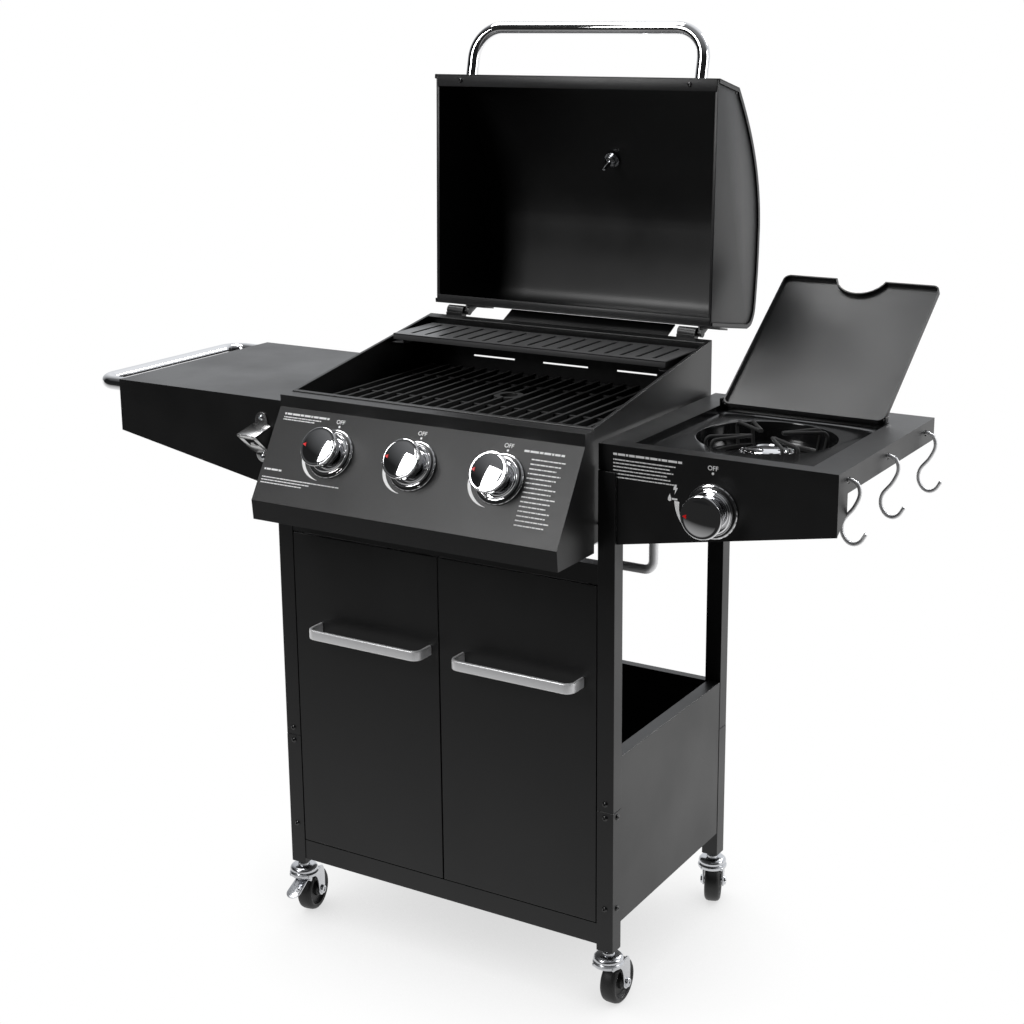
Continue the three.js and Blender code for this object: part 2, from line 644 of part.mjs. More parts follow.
function cookingGrate() {
  const y0 = FIREBOX_FRONT + RIM_FRONT_FLANGE + RUN_GAP;
  const y1 = FIREBOX_BACK - RIM_REAR_FLANGE - RUN_GAP;
  const [low, mid] = [GRATE_TOP - GRATE_HEIGHT, GRATE_TOP - 3];
  const half = (GRATE_PITCH * (GRATE_BARS - 1)) / 2;
  const bars = [];
  for (let i = 0; i < GRATE_BARS; i++) {
    const x = -half + i * GRATE_PITCH;
    const wedge = [
      [x - GRATE_BAR / 2, GRATE_TOP],
      [x + GRATE_BAR / 2, GRATE_TOP],
      [x + 1.5, low],
      [x - 1.5, low],
    ];
    bars.push(prism("y", wedge, y0, y1));
  }
  const ribs = [y0 + 2, 125, 260, y1 - 7].map((y) => box(-half, half, y, y + 5, low, mid));
  const eye = rod([0, 190, low - 1], [0, 190, GRATE_TOP + 1], 17);
  const ring = cut(rod([0, 190, low + 1], [0, 190, GRATE_TOP - 1], 22), rod([0, 190, 0], [0, 190, 900], 13));
  return join(cut(join(bars, ribs), eye), ring);
}

function warmingRack() {
  const [x, z, t] = [RACK_HALF, RACK_LEVEL, SHEET];
  const [y0, y1] = [RACK_FRONT, RACK_BACK];
  const plate = box(-x, x, y0, y1, z - t, z);
  const lips = [box(-x, x, y0, y0 + t, z - 9, z), box(-x, x, y1 - t, y1, z - 9, z)];
  const pitch = (2 * x - 24) / RACK_SLOTS;
  const slots = [];
  for (let i = 0; i < RACK_SLOTS; i++) {
    const c = -x + 12 + pitch * (i + 0.5);
    slots.push(box(c - 3, c + 3, y0 + 12, y1 - 10, z - 20, z + 5));
  }
  return cut(join(plate, lips), slots);
}

add(cart, "firebox", firebox(), BLACK_SHEET);
add(cart, "grease_tray", greaseTray(), STEEL);
BURNER_X.forEach((x, i) => {
  add(cart, `burner_tube_${i + 1}`, burnerTube(x), STEEL);
  add(cart, `flame_tamer_${i + 1}`, flameTamer(x), ENAMEL);
});
add(cart, "cooking_grate", cookingGrate(), CAST_IRON);
add(cart, "warming_rack", warmingRack(), ENAMEL);

// Control panel, valves and knobs ------------------------------------------------------------------------------
const ON_SLOPE = {
  y: PANEL_FRONT_Y - Math.sin(SLOPE_ANGLE) * KNOB_ALONG_SLOPE,
  z: SLOPE_TOP - Math.cos(SLOPE_ANGLE) * KNOB_ALONG_SLOPE,
};

// A group whose +Z points out of the sloped panel, or out of the shelf's apron, at a knob's axis.
function knobPlace(x, y, z, lean) {
  const place = new THREE.Group();
  place.position.set(x, y, z);
  place.rotation.x = Math.PI / 2 - lean;
  return place;
}

// The same place as a solid's move: from the knob's own frame into the cart's.
function atKnob(piece, x, y, z, lean) {
  return piece.rotate([90 - lean / RAD, 0, 0]).translate([x, y, z]);
}

const KNOBS = BURNER_X.map((x) => [x, ON_SLOPE.y, ON_SLOPE.z, SLOPE_ANGLE]);
const SIDE_KNOB = [SIDE_KNOB_X, SHELF_INSET, SHELF_TOP - SIDE_KNOB_DROP, 0];

// Stepped ring round a knob, sitting on its panel, with the hole that the stem comes through.
function bezel() {
  const profile = [
    [7, -1],
    [BEZEL_R, -1],
    [BEZEL_R, 3],
    [BEZEL_R - 4, 5],
    [BEZEL_R - 7, 5],
    [BEZEL_R - 8, BEZEL_HEIGHT],
    [7, BEZEL_HEIGHT],
    [7, -1],
  ];
  return turned(profile, 24);
}

const stemHole = () => rod([0, 0, -20], [0, 0, 20], 7, 12);

function controlPanel() {
  const [t, x] = [SHEET, PANEL_HALF];
  const y1 = FIREBOX_FRONT - GAP;
  const slopeBottom = SLOPE_TOP - PANEL_SLOPE_DROP;
  const skirtY = PANEL_FRONT_Y - PANEL_SLOPE_RUN;
  const low = slopeBottom - PANEL_SKIRT;
  const outer = [
    [y1, low],
    [y1, PANEL_TOP],
    [PANEL_FRONT_Y, PANEL_TOP],
    [PANEL_FRONT_Y, SLOPE_TOP],
    [skirtY, slopeBottom],
    [skirtY + 2.5, low],
  ];
  const inset = t / Math.cos(SLOPE_ANGLE);
  const inner = [
    [y1 + 5, low - 5],
    [y1 + 5, PANEL_TOP - t],
    [PANEL_FRONT_Y + t, PANEL_TOP - t],
    [PANEL_FRONT_Y + t, SLOPE_TOP],
    [skirtY + inset, slopeBottom],
    [skirtY + t + 2.5, low + t],
    [skirtY + 16, low + t],
    [skirtY + 16, low - 5],
  ];
  const shell = cut(prism("x", outer, -x, x), prism("x", inner, -x + t, x - t));
  const rings = KNOBS.map((k) => atKnob(bezel(), ...k));
  return cut(join(shell, rings), KNOBS.map((k) => atKnob(stemHole(), ...k)));
}

function valveStem() {
  return join(
    rod([0, 0, -30], [0, 0, KNOB_HEIGHT - 12], STEM_R, 12),
    rod([0, 0, -5.5], [0, 0, -3.5], STEM_R + 2, 12),
  );
}

// Domed knob with a stepped skirt; its blind bore takes the stem.
function knob() {
  const profile = [
    [0, BEZEL_HEIGHT + PUSH_TRAVEL + 1],
    [KNOB_R - 6, BEZEL_HEIGHT + PUSH_TRAVEL + 1],
    [KNOB_R - 4, BEZEL_HEIGHT + PUSH_TRAVEL + 4],
    [KNOB_R - 4, KNOB_HEIGHT - 10],
    [KNOB_R, KNOB_HEIGHT - 7],
    [KNOB_R, KNOB_HEIGHT - 2],
    [KNOB_R * 0.75, KNOB_HEIGHT + 1],
    [KNOB_R * 0.35, KNOB_HEIGHT + 2.6],
    [0, KNOB_HEIGHT + 3],
  ];
  return cut(turned(profile, 24), rod([0, 0, 0], [0, 0, KNOB_HEIGHT - 12 + GAP], STEM_R + 0.4, 12));
}

const MANIFOLD_BACK = 48; // gas pipe behind the panel, along a knob's axis
const MANIFOLD_R = 8;
const PIPE_X = 205; // the side burner's pipe leaves the manifold's end here
const PIPE_OUT = HALF + 15; // and climbs outside the right-hand legs
const PIPE_DROP = 619;
const PIPE_BACK = 80;

function gasManifold() {
  const y = ON_SLOPE.y + Math.cos(SLOPE_ANGLE) * MANIFOLD_BACK;
  const z = ON_SLOPE.z - Math.sin(SLOPE_ANGLE) * MANIFOLD_BACK;
  const pipe = rod([-PIPE_X, y, z], [PIPE_X - 10, y, z], MANIFOLD_R);
  const body = () => cut(rod([0, 0, -MANIFOLD_BACK], [0, 0, -11], 9, 12), rod([0, 0, -38], [0, 0, 0], STEM_R + 0.5, 12));
  const valves = KNOBS.map((k) => atKnob(body(), ...k));
  const feet = [-1, 1].map((s) => {
    const x = (s * KNOB_PITCH) / 2;
    return box(x - 8, x + 8, y, FIREBOX_FRONT - GAP, z - 2, z + 2);
  });
  const jets = BURNER_X.flatMap((x) => [
    rod([x, y, z], [x, y, BURNER_LEVEL - 4], 4, 8),
    rod([x, y, BURNER_LEVEL], [x, -3, BURNER_LEVEL], 3, 8),
  ]);
  const under = (RAIL_HIGH + FIREBOX_BOTTOM) / 2;
  const sideY = SHELF_INSET + 52;
  const route = bentRoute(
    [
      [PIPE_X - 12, y, z],
      [PIPE_X + 8, y, z],
      [PIPE_X + 8, y, under],
      [PIPE_X + 8, PIPE_BACK, under],
      [PIPE_X + 8, PIPE_BACK, PIPE_DROP],
      [PIPE_OUT, PIPE_BACK, PIPE_DROP],
      [PIPE_OUT, PIPE_BACK, SIDE_KNOB[2]],
      [SIDE_KNOB_X, PIPE_BACK, SIDE_KNOB[2]],
      [SIDE_KNOB_X, sideY - 12, SIDE_KNOB[2]],
    ],
    14,
  );
  const sideValve = atKnob(body(), ...SIDE_KNOB);
  return join(pipe, valves, feet, jets, tube(route, PIPE_R, 10), sideValve);
}

add(cart, "control_panel", controlPanel(), BLACK_TEXTURED);
add(cart, "gas_manifold", gasManifold(), STEEL);
[...KNOBS, SIDE_KNOB].forEach((k, i) => {
  const name = i < 3 ? `${i + 1}` : "side";
  const place = knobPlace(...k);
  cart.add(place);
  add(place, `valve_stem_${name}`, valveStem(), STEEL);
  add(place, `knob_${name}`, knob(), CHROME);
});

// Side shelves -------------------------------------------------------------------------------------------------
// One shelf in the right-hand sense: top, two aprons that deepen towards the leg, and an end panel.
function shelfShell(opening) {
  const [x0, x1, t] = [SHELF_INNER, SHELF_OUTER, SHEET];
  const [y0, y1, top] = [SHELF_INSET, SHELF_BACK, SHELF_TOP];
  const notch = LEG_TOP + GAP;
  const apron = [
    [x0, top],
    [x0, notch],
    [HALF + GAP, notch],
    [HALF + GAP, top - APRON_INNER],
    [x1, top - APRON_OUTER],
    [x1, top],
  ];
  const plate = box(x0, x1, y0, y1, top - t, top);
  const rearApron = [
    [x0, top],
    [x0, notch],
    [HALF + GAP, notch],
    [HALF + GAP, top - END_PANEL],
    [x1, top - END_PANEL],
    [x1, top],
  ];
  const aprons = [prism("y", apron, y0, y0 + t), prism("y", rearApron, y1 - t, y1)];
  const end = box(x1 - t, x1, y0, y1, top - END_PANEL, top);
  const cornerFlange = [
    [y0, top],
    [y0, top - APRON_OUTER],
    [y0 + END_RETURN, top - APRON_OUTER + 22],
    [y0 + END_RETURN, top],
  ];
  return cut(join(plate, aprons, end, prism("x", cornerFlange, x1 - t, x1)), opening);
}

const mirrored = (piece) => piece.mirror([1, 0, 0]);
const TOWEL_R = 10.5; // towel rail's tube
const RAIL_OFF = 57;
const RAIL_DROP = 12;
const RAIL_INSET = 18;

function towelRail() {
  const x = -SHELF_OUTER;
  const z = SHELF_TOP - RAIL_DROP;
  const [y0, y1] = [SHELF_INSET + RAIL_INSET, SHELF_BACK - RAIL_INSET];
  const route = bentRoute(
    [
      [x - GAP, y0, z],
      [x - RAIL_OFF, y0, z],
      [x - RAIL_OFF, y1, z],
      [x - GAP, y1, z],
    ],
    30,
    6,
  );
  return tube(route, TOWEL_R);
}

const OPENER_X = -HALF - 25;
function bottleOpener() {
  const y = SHELF_INSET - GAP;
  const [t, z, out] = [SHEET, SHELF_TOP, 36];
  const side = [
    [y, z - 18],
    [y, z - 41],
    [y - out + 3, z - 47],
    [y - out + 5, z - 50],
    [y, z - 82],
    [y, z - 94],
    [y - t, z - 94],
    [y - t, z - 83],
    [y - out, z - 50],
    [y - out, z - 44],
    [y - t, z - 38],
    [y - t, z - 18],
  ];
  const slot = box(OPENER_X - 9, OPENER_X + 9, y - out - 2, y - 6, z - 76, z - 54);
  return cut(prism("x", side, OPENER_X - 17, OPENER_X + 17), slot);
}

const trayX = [TRAY_CENTRE_X - TRAY_HALF_X, TRAY_CENTRE_X + TRAY_HALF_X];
const trayY = [TRAY_CENTRE_Y - TRAY_HALF_Y, TRAY_CENTRE_Y + TRAY_HALF_Y];
const HOOK_Y = [37.5, 172.6, 317];
const HOOK_HOLE_DROP = 14;

function shelfRight() {
  const opening = box(trayX[0], trayX[1], trayY[0], trayY[1], SHELF_TOP - 10, SHELF_TOP + 10);
  const shell = shelfShell(opening);
  const z = SHELF_TOP - HOOK_HOLE_DROP;
  const holes = HOOK_Y.map((y) => rod([SHELF_OUTER - 10, y, z], [SHELF_OUTER + 10, y, z], 4.5, 12));
  const ring = atKnob(bezel(), ...SIDE_KNOB);
  return cut(join(shell, ring), [...holes, atKnob(stemHole(), ...SIDE_KNOB)]);
}

function sideBurnerBowl() {
  const [x0, x1] = [trayX[0] + GAP, trayX[1] - GAP];
  const [y0, y1] = [trayY[0] + GAP, trayY[1] - GAP];
  const t = SHEET;
  const pan = cut(
    box(x0, x1, y0, y1, TRAY_FLOOR - t, SHELF_TOP - 0.2),
    box(x0 + t, x1 - t, y0 + t, y1 - t, TRAY_FLOOR, SHELF_TOP + 5),
    rod([TRAY_CENTRE_X, WELL_Y, 0], [TRAY_CENTRE_X, WELL_Y, SHELF_TOP + 9], WELL_R, 32),
  );
  const well = turned(
    [
      [22, WELL_FLOOR - t],
      [WELL_R - 8, WELL_FLOOR - t],
      [WELL_R + t, WELL_FLOOR + 10],
      [WELL_R + t, TRAY_FLOOR - 0.5],
      [WELL_R, TRAY_FLOOR - 0.5],
      [WELL_R, WELL_FLOOR + 10],
      [WELL_R - 9, WELL_FLOOR],
      [22, WELL_FLOOR],
      [22, WELL_FLOOR - t],
    ],
    32,
  );
  const ears = SIDES.map(([, s]) => {
    const inner = SIDE_LID_HALF + RUN_GAP;
    const [a, b] = s < 0 ? [-inner - t, -inner] : [inner, inner + t];
    const [y, z] = [SIDE_PIVOT.y, SIDE_PIVOT.z];
    const ear = box(TRAY_CENTRE_X + a, TRAY_CENTRE_X + b, y - 6, y1, TRAY_FLOOR - 1, z + 6);
    return cut(ear, rod([TRAY_CENTRE_X + a - 5, y, z], [TRAY_CENTRE_X + b + 5, y, z], 3.1, 12));
  });
  return join(pan, moved(well, TRAY_CENTRE_X, WELL_Y, 0), ears);
}

const SIDE_PIVOT = { y: TRAY_CENTRE_Y + TRAY_HALF_Y - 9, z: SHELF_TOP + 4.5 };

function sideBurnerHead() {
  const z = WELL_FLOOR;
  return moved(
    join(
      turned(
        [
          [0, z - 22],
          [18, z - 22],
          [18, z + 2],
          [34, z + 6],
          [34, z + 13],
          [30, z + 15],
          [26, z + 16],
          [26, z + 19],
          [18, z + 21],
          [0, z + 21],
        ],
        24,
      ),
      rod([0, 0, z - 16], [0, -55, z - 16], 8, 12),
    ),
    TRAY_CENTRE_X,
    WELL_Y,
    0,
  );
}

const SUPPORT_TOP = SHELF_TOP - 6;
function panSupport() {
  const [low, r] = [WELL_FLOOR + GAP, WELL_R - 14];
  const ring = turned(
    [
      [r - 5, low],
      [r, low],
      [r, low + 5],
      [r - 5, low + 5],
      [r - 5, low],
    ],
    28,
  );
  const arms = [];
  for (let i = 0; i < 4; i++) {
    const a = (45 + 90 * i) * RAD;
    const at = (d, z) => [d * Math.cos(a), d * Math.sin(a), z];
    const route = bentRoute([at(r - 2.5, low + 2), at(r + 4, SUPPORT_TOP - 2.5), at(38, SUPPORT_TOP - 2.5)], 7, 3);
    arms.push(tube(route, 2.5, 8));
  }
  return moved(join(ring, arms), TRAY_CENTRE_X, WELL_Y, 0);
}

// The side burner's lid, built closed about its hinge line and then turned open.
function sideLid() {
  const [w, len, rim, t] = [SIDE_LID_HALF, SIDE_LID_LENGTH, SIDE_LID_RIM, SHEET];
  const back = 4;
  const [z0, z1] = [0.5 - 4.5 + GAP, 0.5 - 4.5 + GAP + rim];
  const body = prism("z", roundedRectangle(-w, w, back - len, back, 10), z0, z1);
  const pocket = prism("z", roundedRectangle(-w + t, w - t, back - len + t, back - t, 8), z0 - 1, z1 - t);
  const notch = rod([0, back - len - NOTCH_R + NOTCH_DEPTH, z0 - 9], [0, back - len - NOTCH_R + NOTCH_DEPTH, z1 + 9], NOTCH_R, 28);
  const rimRing = cut(
    rod([0, back - len - NOTCH_R + NOTCH_DEPTH, z0], [0, back - len - NOTCH_R + NOTCH_DEPTH, z1], NOTCH_R + t, 28),
    box(-w, w, back - len - 2 * NOTCH_R, back - len, z0 - 5, z1 + 5),
  );
  const reach = w + RUN_GAP + t;
  const pins = [-1, 1].map((s) => rod([s * (w - 1.5), 0, 0], [s * reach, 0, 0], 2.6, 10));
  return join(cut(join(cut(body, pocket), rimRing), notch), pins);
}

// A hook bent from wire. Its origin is where it crosses the end panel's hole, and its weight is below that.
const HOOK_TURN = 5; // radius of the small loop over the hole's lower edge
function hookWire() {
  const points = [
    [-HOOK_TURN * 2, -15],
    [-HOOK_TURN * 2, -HOOK_TURN],
    [-HOOK_TURN, 0],
    [0, 0],
    [HOOK_TURN, 0],
    [HOOK_TURN * 2.6, -HOOK_TURN],
    [15, -18],
    [8, -34],
    [-4, -50],
    [-6, -64],
    [0, -75],
    [9, -79],
    [18, -75],
    [25, -64],
  ];
  const curve = new THREE.CatmullRomCurve3(points.map(([x, z]) => new THREE.Vector3(x, 0, z)), false, "centripetal");
  return tube(curve.getSpacedPoints(28), HOOK_WIRE, 8);
}

add(cart, "shelf_left", mirrored(shelfShell([])), BLACK_SHEET);
add(cart, "towel_rail", towelRail(), CHROME);
add(cart, "bottle_opener", bottleOpener(), CHROME);
add(cart, "shelf_right", shelfRight(), BLACK_SHEET);
add(cart, "side_burner_bowl", sideBurnerBowl(), ENAMEL);
add(cart, "side_burner_head", sideBurnerHead(), STEEL);
add(cart, "pan_support", panSupport(), CAST_IRON);
const sideLidPlace = new THREE.Group();
sideLidPlace.position.set(TRAY_CENTRE_X, SIDE_PIVOT.y, SIDE_PIVOT.z);
sideLidPlace.rotation.x = -SIDE_LID_OPEN * RAD;
cart.add(sideLidPlace);
add(sideLidPlace, "side_lid", sideLid(), BLACK_TEXTURED);
HOOK_Y.forEach((y, i) => {
  const place = new THREE.Group();
  place.position.set(SHELF_OUTER - SHEET / 2, y, SHELF_TOP - HOOK_HOLE_DROP);
  cart.add(place);
  add(place, `utensil_hook_${i + 1}`, hookWire(), CHROME);
});

// Lid ------------------------------------------------------------------------------------------------------------
// The lid is drawn closed in its own plane: u runs from its back edge to its front edge along the rim, v rises
// off the rim. Its group is then turned open about the hinge line.
const PIVOT = { y: FIREBOX_BACK + 10.1, z: RIM_REAR + 5.9 };
const LID_BACK_EDGE = { y: FIREBOX_BACK - 1.6, z: RIM_REAR + LID_GAP - 0.3 };

// From the lid's (u, v) to the closed (y, z), counted from the hinge line.
function closed(u, v) {
  const [c, s] = [Math.cos(RIM_ANGLE), Math.sin(RIM_ANGLE)];
  return [LID_BACK_EDGE.y - PIVOT.y - u * c - v * s, LID_BACK_EDGE.z - PIVOT.z - u * s + v * c];
}

// The lid's outline in (u, v), grown inward by an amount.
function lidOutline(inset) {
  const faceTop = [LID_LENGTH - LID_FACE_LEAN, LID_FACE];
  const crestFront = [128, LID_CREST];
  const crestBack = [20, LID_CREST - 5];
  const corner = [-LID_BACK_LEAN, LID_BACK_HEIGHT];
  const points = [[-2, 0], corner, [-LID_BACK_LEAN + 5, LID_BACK_HEIGHT + 15], [0, LID_CREST - 9], crestBack, [70, LID_CREST - 1], crestFront];
  const steps = 8;
  for (let i = 1; i < steps; i++) {
    const s = i / steps;
    const bulge = Math.sin(Math.PI * s) * 13;
    const u = crestFront[0] + (faceTop[0] - crestFront[0]) * s;
    const v = crestFront[1] + (faceTop[1] - crestFront[1]) * (0.25 * s + 0.75 * s * s) + bulge * 0.35;
    points.push([u, v]);
  }
  points.push(faceTop, [LID_LENGTH, 0]);
  if (!inset) return points;
  const middle = [LID_LENGTH / 2, 0];
  return points.map(([u, v], i) => {
    if (v === 0) return [u < middle[0] ? u + inset : u - inset, v - 1];
    const [a, b] = [points[i - 1], points[i + 1]];
    const n = [-(b[1] - a[1]), b[0] - a[0]];
    const l = Math.hypot(...n);
    return [u - (inset * n[0]) / l, v - (inset * n[1]) / l];
  });
}

const inClosed = (outline) => outline.map(([u, v]) => closed(u, v));

function lidSkin() {
  const t = SHEET;
  const x = LID_HALF;
  const shell = cut(prism("x", inClosed(lidOutline(0)), -x, x), prism("x", inClosed(lidOutline(t)), -x - 1, x + 1));
  const rim = prism(
    "x",
    inClosed([
      [LID_LENGTH - LID_RIM, 0],
      [LID_LENGTH - 0.5, 0],
      [LID_LENGTH - 0.5, t],
      [LID_LENGTH - LID_RIM, t],
    ]),
    -x + CHEEK_IN + SHEET + GAP,
    x - CHEEK_IN - SHEET - GAP,
  );
  const leaves = [-1, 1].map((s) => hingeLeaf(s * HINGE_X));
  return join(shell, rim, leaves);
}

const CHEEK_IN = 2.4; // a cheek stands this far inside the skin's edge

// Side cheek of the lid: fills the skin's outline, with a narrow lip along its open edge.
function lidCheek(s) {
  const a = LID_HALF - CHEEK_IN;
  const at = (outline, p, q) => prism("x", inClosed(outline), s < 0 ? -q : p, s < 0 ? -p : q);
  const inner = lidOutline(SHEET + GAP).map(([u, v]) => [u, Math.max(v, 0.5)]);
  const sheet = at(inner, a - SHEET, a);
  const lip = at(
    [
      [6, 0.5],
      [LID_LENGTH - LID_RIM - 1, 0.5],
      [LID_LENGTH - LID_RIM - 1, 2.5],
      [6, 2.5],
    ],
    a - 6,
    a - 1,
  );
  return join(sheet, lip);
}

// Leaf on the lid's back: a plate on the skin and an ear with a hole for the hinge bolt.
function hingeLeaf(x) {
  const ear = KNUCKLE_LENGTH / 2 + 1;
  const outline = inClosed([
    [-2, 3],
    [-6, 30],
    [-10, 30],
    [-12, 6],
  ]);
  const foot = inClosed([
    [-2.3, 3],
    [-6.3, 30],
    [-9, 30],
    [-5, 3],
  ]);
  const plate = prism("x", foot, x + ear, x + ear + 34);
  const around = rod([x + ear, 0, 0], [x + ear + 3, 0, 0], KNUCKLE_R, 14);
  const web = prism("x", outline, x + ear, x + ear + 3);
  const hole = rod([x - 40, 0, 0], [x + 40, 0, 0], 3.6, 12);
  return cut(join(plate, around, web), hole);
}

// Fixed half of a hinge: a knuckle on a foot bolted to the firebox's rear wall, with the bolt through it.
function hingeBracket(x) {
  const half = KNUCKLE_LENGTH / 2;
  const { y, z } = PIVOT;
  const knuckle = rod([x - half, y, z], [x + half, y, z], KNUCKLE_R, 14);
  const back = FIREBOX_BACK + GAP;
  const foot = box(x - half, x + half, back, back + 3, z - 40, z - 2);
  const web = box(x - half, x + half, back, y + 3, z - 12, z - 4);
  const bolt = rod([x - half - 2, y, z], [x + half + 7, y, z], 3.1, 12);
  const head = rod([x + half + 5, y, z], [x + half + 9, y, z], 6, 12);
  return join(knuckle, foot, web, bolt, head);
}

function lidHandle() {
  const [u, v] = [LID_LENGTH - LID_FACE_LEAN / 2 - 0.4, LID_FACE / 2];
  const lean = Math.atan2(LID_FACE_LEAN, LID_FACE);
  const out = (d) => closed(u + d * Math.cos(lean) + 0.4, v + d * Math.sin(lean));
  const h = LID_HANDLE_HALF;
  const corners = [
    [-h, ...out(GAP)],
    [-h, ...out(LID_HANDLE_OFF)],
    [h, ...out(LID_HANDLE_OFF)],
    [h, ...out(GAP)],
  ];
  return tube(bentRoute(corners, LID_HANDLE_BEND, 7), HANDLE_R, 14);
}

const GAUGE = { u: 222, v: 130 };
function thermometer() {
  const lean = Math.atan2(25, 48);
  const gauge = turned(
    [
      [0, 24],
      [24, 24],
      [27, 22],
      [27, 14],
      [20, 12],
      [20, 9],
      [4, 9],
      [4, -36],
      [0, -36],
    ],
    20,
  );
  const [y, z] = closed(GAUGE.u, GAUGE.v);
  return gauge.rotate([lean / RAD + RIM_ANGLE / RAD, 0, 0]).translate([0, y, z]);
}

const gaugeHole = () => {
  const lean = Math.atan2(25, 48);
  const [y, z] = closed(GAUGE.u, GAUGE.v);
  return rod([0, 0, -30], [0, 0, 30], 4.6, 12)
    .rotate([lean / RAD + RIM_ANGLE / RAD, 0, 0])
    .translate([0, y, z]);
};

const lid = new THREE.Group();
lid.position.set(0, PIVOT.y, PIVOT.z);
lid.rotation.x = -LID_OPEN * RAD;
cart.add(lid);
add(lid, "lid_skin", cut(lidSkin(), gaugeHole()), BLACK_TEXTURED);
SIDES.forEach(([side, s]) => {
  add(lid, `lid_cheek_${side}`, lidCheek(s), BLACK_TEXTURED);
  add(cart, `hinge_bracket_${side}`, hingeBracket(s * HINGE_X), STEEL);
});
add(lid, "lid_handle", lidHandle(), CHROME);
add(lid, "thermometer", thermometer(), STEEL);

// The origin is the middle of the footprint, on the floor.
grill.updateMatrixWorld(true);
const extent = new THREE.Box3().setFromObject(cart, true);
cart.position.set(-(extent.min.x + extent.max.x) / 2, -(extent.min.y + extent.max.y) / 2, -extent.min.z);

export default grill;
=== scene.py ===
"""Gas barbecue grill on casters: its finished surfaces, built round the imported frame.

Lengths are in millimetres in the cart's own axes (X right, Y back from the front leg faces, Z up from the
floor) and are turned into the frame's metres when a piece is placed.
"""
import json
import logging
import math
from dataclasses import dataclass, field
from enum import Enum
from typing import Callable, Iterable, Sequence

import bmesh
import bpy
from mathutils import Matrix, Vector


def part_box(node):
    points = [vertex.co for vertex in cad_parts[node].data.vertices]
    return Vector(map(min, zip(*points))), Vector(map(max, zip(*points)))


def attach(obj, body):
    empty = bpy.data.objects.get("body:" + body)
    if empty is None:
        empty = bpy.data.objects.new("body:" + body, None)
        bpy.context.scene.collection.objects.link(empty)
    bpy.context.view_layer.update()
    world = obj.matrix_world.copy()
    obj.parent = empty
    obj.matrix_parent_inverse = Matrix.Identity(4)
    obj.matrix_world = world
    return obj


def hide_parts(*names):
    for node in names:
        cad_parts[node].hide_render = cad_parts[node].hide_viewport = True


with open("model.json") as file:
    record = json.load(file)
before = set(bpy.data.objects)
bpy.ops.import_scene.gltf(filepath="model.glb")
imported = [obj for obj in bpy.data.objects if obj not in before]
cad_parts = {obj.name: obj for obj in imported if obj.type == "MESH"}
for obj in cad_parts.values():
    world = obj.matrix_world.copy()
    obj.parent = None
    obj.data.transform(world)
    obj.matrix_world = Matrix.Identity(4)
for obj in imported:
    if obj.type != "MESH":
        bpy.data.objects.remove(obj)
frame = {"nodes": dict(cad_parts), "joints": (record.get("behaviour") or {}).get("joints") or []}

LOG = logging.getLogger("grill")
MM = 0.001
Pair = tuple[float, float]
Triple = tuple[float, float, float]
RGB = tuple[float, float, float]


class Slot(str, Enum):
    """Material slots of the record."""

    FRAME = "frame_paint"
    LID = "lid_paint"
    CHROME = "chrome"
    ZINC = "zinc"
    STAINLESS = "stainless"
    CAST = "cast_iron"
    ENAMEL = "enamel"
    RACK = "rack"
    WHEEL = "wheel"


class Axis(Enum):
    """Directions that a flat outline is drawn across; the outline's own pair of axes is named in each."""

    X = ((0, 1, 0), (0, 0, 1), (1, 0, 0))
    Y = ((1, 0, 0), (0, 0, 1), (0, -1, 0))
    Z = ((1, 0, 0), (0, 1, 0), (0, 0, 1))


# Node groups and finishes ----------------------------------------------------------------------------------


class Board:
    """A node tree with short ways to add and link nodes."""

    def __init__(self, tree: bpy.types.NodeTree) -> None:
        """Wraps a node tree.

        Args:
            tree: the tree that nodes are added to.
        """
        self.tree = tree

    def add(self, kind: str, inputs: dict | None = None, **props: object) -> bpy.types.Node:
        """Adds a node.

        Args:
            kind: node type without its ShaderNode prefix.
            inputs: socket name or index to a value, or to the output socket that feeds it.
            props: attributes of the node.

        Returns:
            The new node.
        """
        node = self.tree.nodes.new("ShaderNode" + kind)
        for name, value in props.items():
            setattr(node, name, value)
        for name, value in (inputs or {}).items():
            if isinstance(value, bpy.types.NodeSocket):
                self.tree.links.new(value, node.inputs[name])
            else:
                node.inputs[name].default_value = value
        return node

    def math(self, operation: str, a: object, b: object) -> bpy.types.NodeSocket:
        """One sum, product or comparison.

        Args:
            operation: name of the math operation.
            a: first value or socket.
            b: second value or socket.

        Returns:
            The result's socket.
        """
        return self.add("Math", {0: a, 1: b}, operation=operation).outputs[0]

    def ramp(
        self, value: bpy.types.NodeSocket, low: float, high: float, to: Pair = (0, 1)
    ) -> bpy.types.NodeSocket:
        """Maps a range of values to another, held at its ends.

        Args:
            value: socket to map.
            low: value that maps to the first result.
            high: value that maps to the second result.
            to: the two results.

        Returns:
            The mapped value's socket.
        """
        inputs = {"Value": value, "From Min": low, "From Max": high, "To Min": to[0], "To Max": to[1]}
        return self.add("MapRange", inputs).outputs["Result"]


